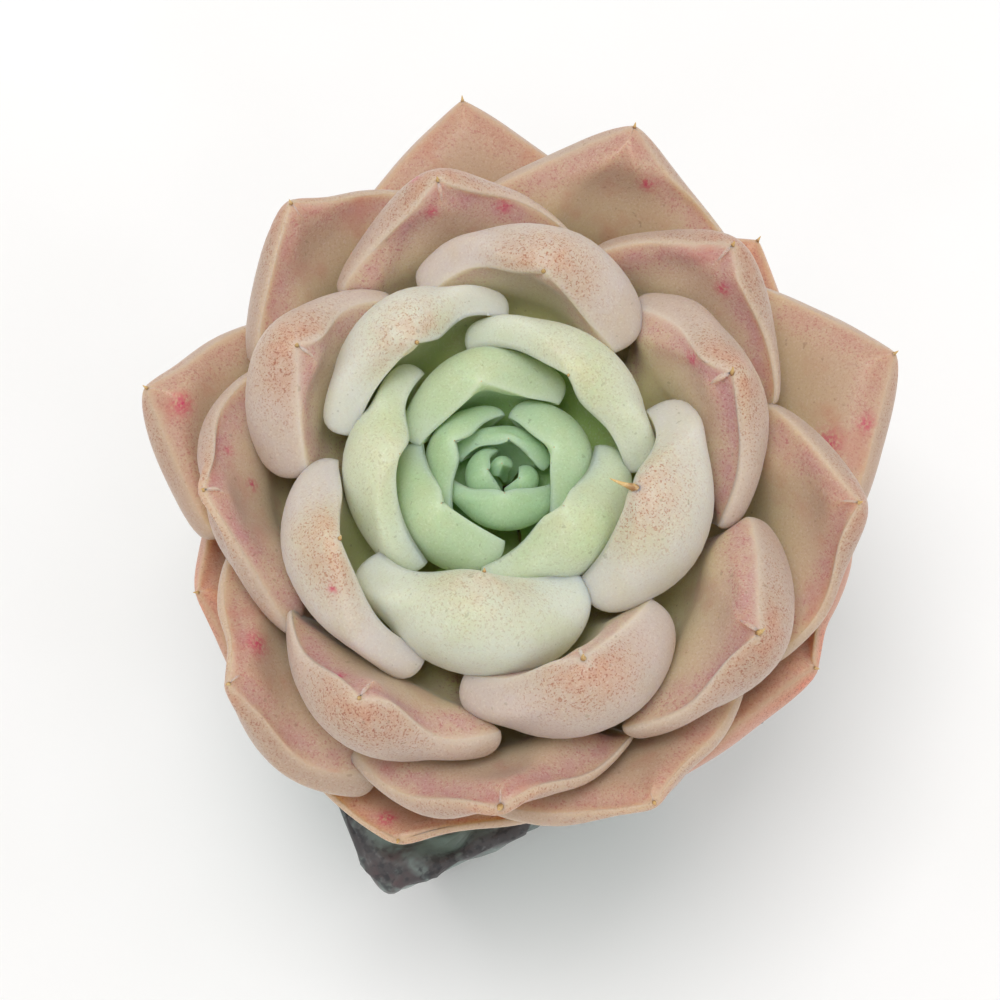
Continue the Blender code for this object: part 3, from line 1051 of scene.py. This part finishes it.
@dataclass(frozen=True)
class Spine:
    """The dry spine at a leaf's tip: a thin cone that swells at its scorched base and bows upwards.

    Attributes:
        columns: How many points each ring has.
        shares: How far along the spine each ring is, from inside the leaf to near the point.
        girths: Each ring's radius, as a multiple of the whole spine's.
        radius_mm: The radius of a spine 1 mm long. It grows with the square root of the length.
        bow: How far its rings bow upwards, as a share of its length.
        point_bow: How far its point does.
        sunk: How far its root is sunk in the leaf.
        scorched: Where the scorching ends, and where it is full.
    """

    columns: int = 8
    shares: tuple[float, ...] = (-0.35, -0.05, 0.1, 0.3, 0.55, 0.8)
    girths: tuple[float, ...] = (0.9, 1.25, 0.95, 0.72, 0.5, 0.3)
    radius_mm: float = 0.25
    bow: float = 0.25
    point_bow: float = 0.27
    sunk: float = 0.4
    scorched: tuple[float, float] = (0.4, -0.05)

    def build(self, blade: Blade, tip: np.ndarray) -> tuple[np.ndarray, list[list[int]], np.ndarray]:
        """Shapes the spine.

        Args:
            blade: The leaf's blade.
            tip: The leaf's tip, in mm.

        Returns:
            The spine's points, its faces, and how near each point is to the scorched base.
        """
        length, lean, droop = SPINES.get(blade.number, (law(SPINE_LENGTH, blade.number), 0, 0))
        _, (tangent,) = blade.spine(np.array([1.0]))
        pitch = math.atan2(tangent[1], tangent[0]) + math.radians(droop)
        parts = (math.cos(pitch), math.sin(math.radians(lean)), math.sin(pitch))
        ahead = blade.turned(*(np.array([part]) for part in parts))[0]
        ahead /= np.linalg.norm(ahead)
        bend = np.array([0.0, 0.0, 1.0]) - ahead * ahead[2]
        side = np.cross(ahead, bend)
        side /= np.linalg.norm(side)
        up = np.cross(side, ahead)
        ring = circle(self.columns) @ np.stack([side, up])
        rings = []
        for share, girth in zip(self.shares, self.girths):
            centre = tip + ahead * share * length + up * self.bow * length * max(share, 0) ** 2
            rings.append(centre + self.radius_mm * math.sqrt(length) * girth * ring)
        ends = [tip - ahead * self.sunk * length, tip + ahead * length + up * self.point_bow * length]
        base = np.repeat(eased(np.array(self.shares), *self.scorched), self.columns)
        return *sleeve(rings, ends), np.append(base, (1.0, 0.0))


@dataclass
class Rosette:
    """All the leaves, from the bud out.

    Attributes:
        bud: The bud's tip, in mm in the row frame.
        fine: The lattice that a leaf is built on.
        coarse: The lattice that its node was built on.
        most_press_mm: The furthest that a node was pressed down.
        match_mm: How near a node's point lies to the line down from its place at rest.
        most_step_mm: The most that a press stands above those on both sides of it.
        ridge_mm: How far the margin stands up, and how deep the groove beside it is.
        groove_mm: How far in from the margin the groove is, and how far it reaches either way.
        groove_grown: Where along the leaf the groove starts, and where it is full.
        swell_mm: How far the leaf's own unevenness stands out.
        swell_size_mm: How wide that is.
        swell_grown: Where along the leaf it starts, and where it is full.
        skin: The leaves' skin.
        skin_map: Where its layers lie.
        spine: The spine at a leaf's tip.
    """

    bud: np.ndarray
    fine: Lattice = Lattice(56, 72)
    coarse: Lattice = Lattice(8, 12)
    most_press_mm: float = 18.1
    match_mm: float = 0.01
    most_step_mm: float = 2.5
    ridge_mm: float = 0.08
    groove_mm: tuple[float, float] = (2.2, 1.3)
    groove_grown: tuple[float, float] = (0.4, 0.7)
    swell_mm: float = 0.22
    swell_size_mm: float = 9.0
    swell_grown: tuple[float, float] = (0.2, 0.5)
    skin: LeafSkin = LeafSkin()
    skin_map: SkinMap = SkinMap()
    spine: Spine = Spine()

    def press_of(self, blade: Blade) -> np.ndarray:
        """Finds how far the leaf's node was pressed down, and spreads that over the fine lattice.

        Args:
            blade: The leaf's blade at rest.

        Returns:
            The way down, in mm, for each point of the fine lattice.
        """
        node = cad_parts[f"leaf_{blade.number:02d}"]
        points = np.array([vertex.co for vertex in node.data.vertices]) / MM - self.bud
        rest, down = blade.surface(*self.coarse.places())
        span = points[None, :, :] - rest[:, None, :]
        fall = np.einsum("ijk,ik->ij", span, down)
        miss = np.linalg.norm(span - fall[:, :, None] * down[:, None, :], axis=2)
        on_line = (miss < self.match_mm) & (fall > -self.match_mm) & (fall < self.most_press_mm)
        below = np.sin(self.coarse.places()[1]) < -self.match_mm
        nearest = np.where(on_line, fall, np.inf).min(axis=1)
        furthest = np.where(on_line, fall, -np.inf).max(axis=1)
        press = np.where(below, furthest, nearest)
        table = press[:-2].reshape(self.coarse.rows, self.coarse.columns)
        # No press stands far above those on both sides of it, so one that does was matched wrongly.
        beside = np.maximum(np.roll(table, 1, axis=1), np.roll(table, -1, axis=1))
        table = np.where(table > beside + self.most_step_mm, beside, table)
        table = np.vstack([table, np.full((1, self.coarse.columns), press[-1])])
        share, around = self.fine.shares()
        spread = smooth_read(table, share * self.coarse.rows, around / math.tau * self.coarse.columns)
        return np.maximum(np.append(spread, press[-2:]), 0)

    def from_margin(self, points: np.ndarray) -> np.ndarray:
        """Measures how far a leaf's points are from its nearer margin.

        Args:
            points: The leaf's points, in mm.

        Returns:
            The distance for each. It is 0 for the two end points.
        """
        columns = self.fine.columns
        rings = points[:-2].reshape(self.fine.rows, columns, 3)
        margins = (rings[:, :1], rings[:, columns // 2 : columns // 2 + 1])
        one, other = (np.linalg.norm(rings - margin, axis=2) for margin in margins)
        return np.append(np.minimum(one, other).ravel(), (0.0, 0.0))

    def build_leaf(self, number: int, horn: bpy.types.Material) -> bpy.types.Object:
        """Builds and dresses one leaf with its spine.

        Args:
            number: The leaf's number.
            horn: The spine's material.

        Returns:
            The leaf, which replaces its node.
        """
        blade = Blade.grown(number)
        along, around = self.fine.places()
        rest, down = blade.surface(along, around)
        points = rest + self.press_of(blade)[:, None] * down
        points[-2] = points[: self.fine.columns].mean(axis=0)
        faces = tube_faces(self.fine.rows, self.fine.columns)
        to_margin = self.from_margin(points)
        fields = self.skin_map.fields_of(number, points, self.fine, to_margin)
        groove = fields["inner"] * hump(to_margin, *self.groove_mm) * eased(along, *self.groove_grown)
        swell = Lumps(self.swell_size_mm, self.swell_mm, number).at(points)
        swell *= eased(along, *self.swell_grown)
        raised = self.ridge_mm * (fields["margin"] - groove) + swell
        points = points + raised[:, None] * outward(points, faces)
        spine_points, spine_faces, base = self.spine.build(blade, points[-1])
        blank = np.zeros(len(spine_points))
        fields = {name: np.append(values, blank) for name, values in fields.items()}
        fields["spine_base"] = np.append(np.zeros(len(points)), base)
        faces = faces + [[len(points) + at for at in face] for face in spine_faces]
        everything = (np.vstack([points, spine_points]) + self.bud) * MM
        finish = self.skin.finish(number).material()
        leaf = new_piece(f"living_leaf_{number:02d}", everything, faces, [finish, horn], fields)
        which = np.zeros(len(faces), np.int32)
        which[-len(spine_faces) :] = 1
        leaf.data.polygons.foreach_set("material_index", which)
        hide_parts(f"leaf_{number:02d}")
        Stage.of(number).value
        return leaf

    def build(self) -> list[bpy.types.Object]:
        """Builds every leaf, from the bud out."""
        horn = HORN.material()
        return [self.build_leaf(number, horn) for number in sorted(HABIT)]


# ---- Pot, mix and stem ---------------------------------------------------------------------------
def rounded_square(side: float, corner: float, per_side: int = 26, per_corner: int = 8) -> np.ndarray:
    """Lays points round a square with rounded corners.

    Args:
        side: Its side.
        corner: Its corners' radius.
        per_side: How many points each straight run has.
        per_corner: How many points each corner has.

    Returns:
        The points (x, y), turning left.
    """
    half = side / 2
    along = np.linspace(corner - half, half - corner, per_side)
    run = np.stack([np.full(per_side, half), along], axis=1)
    angles = np.linspace(0, math.pi / 2, per_corner + 2)[1:-1]
    bend = (half - corner) + corner * np.stack([np.cos(angles), np.sin(angles)], axis=1)
    quarter = np.vstack([run, bend])
    turn = np.array([[0, 1], [-1, 0]])
    return np.vstack([quarter @ np.linalg.matrix_power(turn, times) for times in range(4)])


def bored(
    piece: bpy.types.Object, radius: float, depth: float, places: list[tuple[float, float]]
) -> None:
    """Bores upright holes through the bottom of a piece.

    Args:
        piece: The piece, standing on the ground.
        radius: The holes' radius.
        depth: How deep they go, from below the ground.
        places: Each hole's (x, y).
    """
    for x, y in places:
        bpy.ops.mesh.primitive_cylinder_add(
            vertices=40, radius=radius, depth=2 * depth, location=(x, y, 0)
        )
        cutter = bpy.context.object
        hole = piece.modifiers.new("hole", "BOOLEAN")
        hole.object = cutter
        hole.solver = "EXACT"
        cut_piece = piece.evaluated_get(bpy.context.evaluated_depsgraph_get())
        cut = bpy.data.meshes.new_from_object(cut_piece)
        piece.modifiers.remove(hole)
        piece.data = cut
        bpy.data.objects.remove(cutter)


@dataclass
class Pot:
    """A slab-built square stoneware pot, glazed inside and out, with a rough broken rim.

    Attributes:
        foot_side: The side of its foot, in metres like every size here.
        wall: Its wall's thickness.
        floor: Its floor's thickness.
        corner: The radius of its upright corners.
        inner_corner: The same inside, where the slabs' seams are filled with clay.
        drain_radius: The radius of its four drain holes.
        drain_spacing: The distance between them.
        foot_bevel: The bevel round its foot and inside its floor.
        foot_rise: How far up the wall the clay's unevenness comes in.
        bare_foot: How far up the foot the glaze thins out.
        torn_depth: How far down the rim is torn.
        chip_depth: How far down it is chipped.
        thin_depth: How far down the glaze runs thin, and where it is thinnest.
        lump: How far its hand-torn rim wanders.
        tears: The coarse and the fine wandering: sizes in mm, heights as multiples of the lump.
        chips: The chips, likewise.
        unchipped: How much of the chips' noise leaves the rim whole.
        hand: The unevenness of the slabs, in mm.
    """

    foot_side: float = 43.0 * MM
    wall: float = 3.6 * MM
    floor: float = 4.5 * MM
    corner: float = 3.6 * MM
    inner_corner: float = 13.0 * MM
    drain_radius: float = 2.0 * MM
    drain_spacing: float = 16.0 * MM
    foot_bevel: float = 0.7 * MM
    foot_rise: float = 6.0 * MM
    bare_foot: float = 3.0 * MM
    torn_depth: float = 7.04 * MM
    chip_depth: float = 3.2 * MM
    thin_depth: tuple[float, float] = (5.44 * MM, 0.5 * MM)
    lump: float = 1.5 * MM
    tears: tuple[Lumps, ...] = (Lumps(7.5, 0.7, 3.1), Lumps(3.2, 1.2, 8.4))
    chips: Lumps = Lumps(2.2, 1.4, 5.7)
    unchipped: float = 0.14
    hand: Lumps = Lumps(22.0, 0.35, 1.3)

    def profile(self, height: float, top_side: float) -> list[tuple[float, float, float]]:
        """Lists the pot's rings, from the foot up its outside, over the rim and down its inside.

        Args:
            height: The pot's height.
            top_side: Its side at the rim.

        Returns:
            (side, height, share of the way through the wall) of each ring.
        """
        rim_round, rows, rim_rows, flatter = self.wall / 2, 34, 11, 0.9
        slope = (top_side - self.foot_side) / height
        rings = [(self.foot_side * share, 0.0, 0.0) for share in (0.2, 0.4, 0.6, 0.8, 0.94)]
        rings.append((self.foot_side - 2 * self.foot_bevel, 0.0, 0.0))
        for up in np.linspace(self.foot_bevel, height - rim_round, rows):
            rings.append((self.foot_side + slope * up, float(up), 0.0))
        for angle in np.linspace(0, math.pi, rim_rows + 2)[1:-1]:
            inset = 2 * rim_round * (1 - math.cos(angle))
            up = height - rim_round + rim_round * math.sin(angle) * flatter
            rings.append((self.foot_side + slope * up - inset, up, angle / math.pi))
        for up in np.linspace(height - rim_round, self.floor + self.foot_bevel, rows):
            rings.append((self.foot_side + slope * up - 2 * self.wall, float(up), 1.0))
        inner = self.foot_side + slope * self.floor - 2 * self.wall
        rings.extend((inner * share, self.floor, 1.0) for share in (0.95, 0.8, 0.6, 0.4, 0.2))
        return rings

    def roughen(self, points: np.ndarray, to_rim: np.ndarray, on_wall: np.ndarray) -> np.ndarray:
        """Works out how uneven the hand-built clay is.

        Args:
            points: The pot's points.
            to_rim: How far each is below the rim.
            on_wall: Its share of the way up from the foot to where the wall's unevenness is full.

        Returns:
            How far each point stands out.
        """
        mm_points = points / MM
        torn = sum(tear.at(mm_points) for tear in self.tears)
        chips = np.minimum(self.chips.at(mm_points) + self.unchipped, 0)
        chipped = chips * eased(to_rim, self.chip_depth, 0)
        torn_rim = eased(to_rim, self.torn_depth, 0) * self.lump * (torn + chipped)
        return torn_rim + on_wall * self.hand.at(mm_points) * MM

    def fields_of(
        self, points: np.ndarray, to_rim: np.ndarray, on_wall: np.ndarray, through: np.ndarray
    ) -> dict[str, np.ndarray]:
        """Works out where each layer of the glaze lies.

        Args:
            points: The pot's points, roughened.
            to_rim: How far each was below the rim before that.
            on_wall: Its share of the way up from the foot to where the wall's unevenness is full.
            through: Its share of the way through the wall.

        Returns:
            The vertex attributes by name.
        """
        near, far = np.sort(np.abs(points[:, :2]), axis=1).T
        rim = eased(to_rim, *self.thin_depth) * eased(through, 0.75, 0.4)
        foot = 0.6 * eased(points[:, 2], self.bare_foot, 0) * (1 - through)
        corner = eased(near / far.clip(MM), 0.8, 0.97) * on_wall
        return {"outside": 1 - through, "thin": rim + foot, "corner": corner}

    def build(self) -> bpy.types.Object:
        """Builds and dresses the pot.

        Returns:
            The pot, which replaces its node.
        """
        low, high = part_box("pot")
        height = high.z - low.z
        profile = self.profile(height, high.x - low.x)
        rings = []
        for side, up, through in profile:
            corner = min(self.corner + through * (self.inner_corner - self.corner), side / 4)
            rings.append(np.insert(rounded_square(side, corner), 2, up, axis=1))
        points, faces = sleeve(rings, [(0, 0, 0), (0, 0, self.floor)])
        to_rim = height - points[:, 2]
        on_wall = eased(points[:, 2], 0, self.foot_rise)
        points = points + self.roughen(points, to_rim, on_wall)[:, None] * outward(points, faces)
        through = np.append(np.repeat([ring[2] for ring in profile], len(rings[0])), (0.0, 1.0))
        fields = self.fields_of(points, to_rim, on_wall, through)
        pot = new_piece("glazed_pot", points, faces, [GLAZE.material(), BISQUE.material()], fields)
        under = np.array([face.center.z < 0.25 * MM for face in pot.data.polygons], np.int32)
        pot.data.polygons.foreach_set("material_index", under)
        half = self.drain_spacing / 2
        drains = [(x, y) for x in (-half, half) for y in (-half, half)]
        bored(pot, self.drain_radius, 2 * self.floor, drains)
        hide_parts("pot")
        return pot


@dataclass
class PottingMix:
    """The potting mix: a bed of bark with grains of pumice and lava lying on it.

    Attributes:
        taper: How far each side leans in for each metre down.
        corner: The radius of its upright corners, in metres.
        relief: How uneven the bed is, in metres.
        sunk: How far its unevenness sinks it, as a multiple of the relief.
        clods: The coarse and the fine unevenness: sizes in mm, heights as multiples of the relief.
        stem_room: The radius round the stem that no grain lies in.
        grain_spacing: The distance between grains.
        smallest: The smallest grain's radius.
        largest: The largest grain's radius.
        seed: The seed of the grains' places and shapes.
    """

    taper: float = 9 / 56
    corner: float = 13.0 * MM
    relief: float = 0.7 * MM
    sunk: float = 0.6
    clods: tuple[Lumps, ...] = (Lumps(3.0, 1.0, 2.2), Lumps(1.3, 0.6, 6.6))
    stem_room: float = 7.5 * MM
    grain_spacing: float = 2.3 * MM
    smallest: float = 0.7 * MM
    largest: float = 1.7 * MM
    seed: int = 11

    def build_bed(self) -> bpy.types.Object:
        """Builds the bed.

        Returns:
            The bed, which replaces the grit's node.
        """
        low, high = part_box("grit")
        top, deep, side_rings, top_rings = high.x - low.x, high.z - low.z, 14, 26
        foot = top - 2 * self.taper * deep
        rings = []
        for share in np.linspace(0, 1, side_rings):
            outline = rounded_square(foot + (top - foot) * share, self.corner)
            rings.append(np.insert(outline, 2, low.z + deep * share, axis=1))
        for share in np.linspace(0.96, 0.08, top_rings):
            rings.append(np.insert(rounded_square(top * share, self.corner * share), 2, high.z, axis=1))
        points, faces = sleeve(rings, [(0, 0, low.z), (0, 0, high.z)])
        uneven = sum(clod.at(points / MM) for clod in self.clods)
        on_top = points[:, 2] > high.z - MM * 0.01
        points[on_top, 2] += (uneven[on_top] - self.sunk) * self.relief
        bed = new_piece("potting_bed", points, faces, [BARK.material()])
        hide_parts("grit")
        return bed

    def grain(
        self, rng: np.random.Generator, radius: float, place: np.ndarray
    ) -> tuple[np.ndarray, list[list[int]]]:
        """Shapes one grain.

        Args:
            rng: The source of its shape.
            radius: Its mean radius.
            place: Its middle.

        Returns:
            Its points and faces.
        """
        rows, columns = 6, 9
        tilt = np.arange(1, rows + 1) / (rows + 1) * math.pi
        around = np.insert(circle(columns), 0, 0, axis=1)
        rings = [(-math.cos(a), 0, 0) + math.sin(a) * around for a in tilt]
        ball, faces = sleeve(rings, [(-1.0, 0.0, 0.0), (1.0, 0.0, 0.0)])
        rough = 1 + Lumps(0.8, 0.34, float(rng.uniform(0, 90))).at(ball)
        basis, _ = np.linalg.qr(rng.normal(size=(3, 3)))
        if np.linalg.det(basis) < 0:
            basis[:, 0] *= -1
        stretch = rng.uniform(0.7, 1.15, 3) * radius
        return (ball * rough[:, None] * stretch) @ basis.T + place, faces

    def build_grains(self, stem: Vector) -> list[bpy.types.Object]:
        """Scatters the grains on the bed, a piece for each kind of rock.

        Args:
            stem: The middle of the stem.

        Returns:
            The pieces.
        """
        rng = np.random.default_rng(self.seed)
        _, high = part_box("grit")
        kinds = {"pumice_grains": PUMICE, "lava_grains": LAVA, "bark_chips": BARK}
        shares, astray = (0.45, 0.3, 0.25), self.grain_spacing * np.array([1, 1, 0.3])
        found = {name: ([], []) for name in kinds}
        reach = high.x - self.largest
        steps = np.arange(-reach, reach, self.grain_spacing)
        for x in steps:
            for y in steps:
                place = np.array([x, y, high.z]) + rng.uniform(-0.4, 0.4, 3) * astray
                name = rng.choice(list(kinds), p=shares)
                radius = float(rng.uniform(self.smallest, self.largest))
                if math.hypot(place[0] - stem.x, place[1] - stem.y) < self.stem_room:
                    continue
                points, faces = self.grain(rng, radius, place)
                every, every_face = found[name]
                shift = sum(len(part) for part in every)
                every.append(points)
                every_face.extend([at + shift for at in face] for face in faces)
        pieces = []
        for name, (every, every_face) in found.items():
            piece = new_piece(name, np.vstack(every), every_face, [kinds[name].material()])
            pieces.append(piece)
        return pieces


@dataclass
class Stem:
    """The short corky stem that carries the leaves, ringed with the scars of those it has shed.

    Attributes:
        gap_mm: How far it stays from the leaves' roots.
        top_leaf: The youngest leaf that it reaches up to.
        scar_mm: How far the scars stand out.
        scar_spacing_mm: The distance from one ring of scars to the next.
        root_mm: The radius of the tap root's end.
        taper_mm: How deep in the grit the trunk starts to taper to its root.
        cork: The unevenness of the cork, in mm.
    """

    gap_mm: float = 0.6
    top_leaf: int = 9
    scar_mm: float = 0.25
    scar_spacing_mm: float = 1.7
    root_mm: float = 2.0
    taper_mm: float = 6.0
    cork: Lumps = Lumps(1.6, 0.2, 4.4)

    def build(self, bud: np.ndarray) -> bpy.types.Object:
        """Builds and dresses the stem.

        Args:
            bud: The bud's tip, in mm.

        Returns:
            The stem, which replaces its node.
        """
        low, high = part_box("stem")
        grit_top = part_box("grit")[1].z / MM
        rows, columns = 90, 56
        seats = range(max(HABIT), self.top_leaf - 1, -1)
        top = [(law(ROOT_RADIUS, seat), bud[2] + law(ROOT_LIFT, seat)) for seat in seats]
        top = [(radius - self.gap_mm, height - self.gap_mm) for radius, height in top]
        trunk = [(self.root_mm, low.z / MM + 1), (top[0][0], grit_top - self.taper_mm), *top]
        widths, heights = np.array(trunk).T
        levels = np.linspace(heights[0], heights[-1], rows)
        middle = bud[:2]
        rings = [
            np.insert(middle + circle(columns) * radius, 2, level, axis=1)
            for radius, level in zip(np.interp(levels, heights, widths), levels)
        ]
        points, faces = sleeve(rings, [(*middle, low.z / MM), (*middle, high.z / MM)])
        level = points[:, 2]
        angle = np.arctan2(points[:, 1] - middle[1], points[:, 0] - middle[0])
        wave = (level - grit_top) / self.scar_spacing_mm * math.tau + 1.6 * np.sin(3 * angle)
        scar = eased(np.sin(wave), 0.35, 0.9)
        shown = eased(level, grit_top - 2, grit_top) * eased(level, high.z / MM - 1, high.z / MM - 3)
        raised = shown * (self.scar_mm * scar + self.cork.at(points))
        points += raised[:, None] * outward(points, faces)
        stem = new_piece("corky_stem", points * MM, faces, [CORK.material()], {"scar": scar})
        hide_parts("stem")
        return stem


# ---- Studio --------------------------------------------------------------------------------------
@dataclass
class Studio:
    """A pale floor, soft light and a camera that looks down on the rosette.

    Attributes:
        bud: The bud's tip, in metres in the row frame.
        azimuth: The camera's turn about the plant, in degrees.
        elevation: Its angle above the level.
        distance: From the camera to the bud, in metres.
        right_of_middle: How far the bud stands to the right of the picture's middle, in metres.
        above_middle: How far it stands above it.
        view_width: The width that the picture takes in at the bud.
        sensor_mm: The width of the camera's sensor.
        floor_side: The floor's side.
        softboxes: Each light's name, place from the bud, side in metres and power in watts.
        sky: The strength of the even white light from all round.
    """

    bud: Vector
    azimuth: float = -26.2
    elevation: float = 72.0
    distance: float = 0.300
    right_of_middle: float = 1.0 * MM
    above_middle: float = 3.5 * MM
    view_width: float = 0.125
    sensor_mm: float = 36.0
    floor_side: float = 6.0
    softboxes: tuple[tuple[str, tuple[float, float, float], float, float], ...] = (
        ("key_softbox", (-0.06, 0.1, 0.9), 0.4, 3.8),
        ("fill_softbox", (0.5, -0.5, 0.5), 0.7, 0.5),
    )
    sky: float = 0.69

    def add_camera(self) -> None:
        """Sets the camera, with the bud where it stands in the picture."""
        turn, rise = math.radians(self.azimuth), math.radians(self.elevation)
        level = math.cos(rise)
        back = Vector((math.sin(turn) * level, -math.cos(turn) * level, math.sin(rise)))
        right = Vector((math.cos(turn), math.sin(turn), 0))
        up = back.cross(right)
        place = self.bud + back * self.distance - right * self.right_of_middle - up * self.above_middle
        lens = bpy.data.cameras.new("camera")
        lens.sensor_width = self.sensor_mm
        lens.lens = self.sensor_mm * self.distance / self.view_width
        lens.clip_start = 0.01
        camera = bpy.data.objects.new("camera", lens)
        axes = Matrix((right, up, back)).transposed().to_4x4()
        camera.matrix_world = Matrix.Translation(place) @ axes
        bpy.context.scene.collection.objects.link(camera)
        bpy.context.scene.camera = camera

    def add_light(self, name: str, place: Vector, size: float, power: float) -> None:
        """Adds a square soft light that faces the plant.

        Args:
            name: Its name.
            place: Where it hangs, from the bud, in metres.
            size: Its side, in metres.
            power: Its power, in watts.
        """
        lamp = bpy.data.lights.new(name, "AREA")
        lamp.size = size
        lamp.energy = power
        light = bpy.data.objects.new(name, lamp)
        light.location = self.bud + place
        light.rotation_euler = (-place).to_track_quat("-Z", "Y").to_euler()
        bpy.context.scene.collection.objects.link(light)

    def add_floor(self) -> None:
        """Lays the pale floor that the pot stands on."""
        half = self.floor_side / 2
        corners = [(-half, -half, 0.0), (half, -half, 0.0), (half, half, 0.0), (-half, half, 0.0)]
        mesh = bpy.data.meshes.new("floor")
        mesh.from_pydata(corners, [], [[0, 1, 2, 3]])
        mesh.materials.append(BOARD.material())
        floor = bpy.data.objects.new("floor", mesh)
        bpy.context.scene.collection.objects.link(floor)

    def build(self) -> None:
        """Sets up the floor, the lights, the sky and the camera."""
        self.add_floor()
        for name, place, size, power in self.softboxes:
            self.add_light(name, Vector(place), size, power)
        world = bpy.data.worlds.new("soft_white_sky")
        world.use_nodes = True
        sky = world.node_tree.nodes["Background"].inputs
        sky["Color"].default_value = (1.0, 1.0, 1.0, 1.0)
        sky["Strength"].default_value = self.sky
        bpy.context.scene.world = world
        bpy.context.scene.view_settings.view_transform = "Standard"
        self.add_camera()


def main() -> None:
    """Builds the plant and its pot, in order, and reports each piece."""
    logging.basicConfig(level=logging.INFO, format="%(name)s: %(message)s")
    low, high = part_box("stem")
    bud = Vector(((low.x + high.x) / 2, (low.y + high.y) / 2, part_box("leaf_01")[1].z))
    Studio(bud).build()
    mix = PottingMix()
    bud_mm = np.array(bud) / MM
    pieces = [Pot().build(), mix.build_bed(), *mix.build_grains(bud), Stem().build(bud_mm)]
    pieces += Rosette(bud_mm).build()
    for piece in pieces:
        LOG.info("%s: %d points", piece.name, len(piece.data.vertices))


if __name__ == "__main__":
    main()
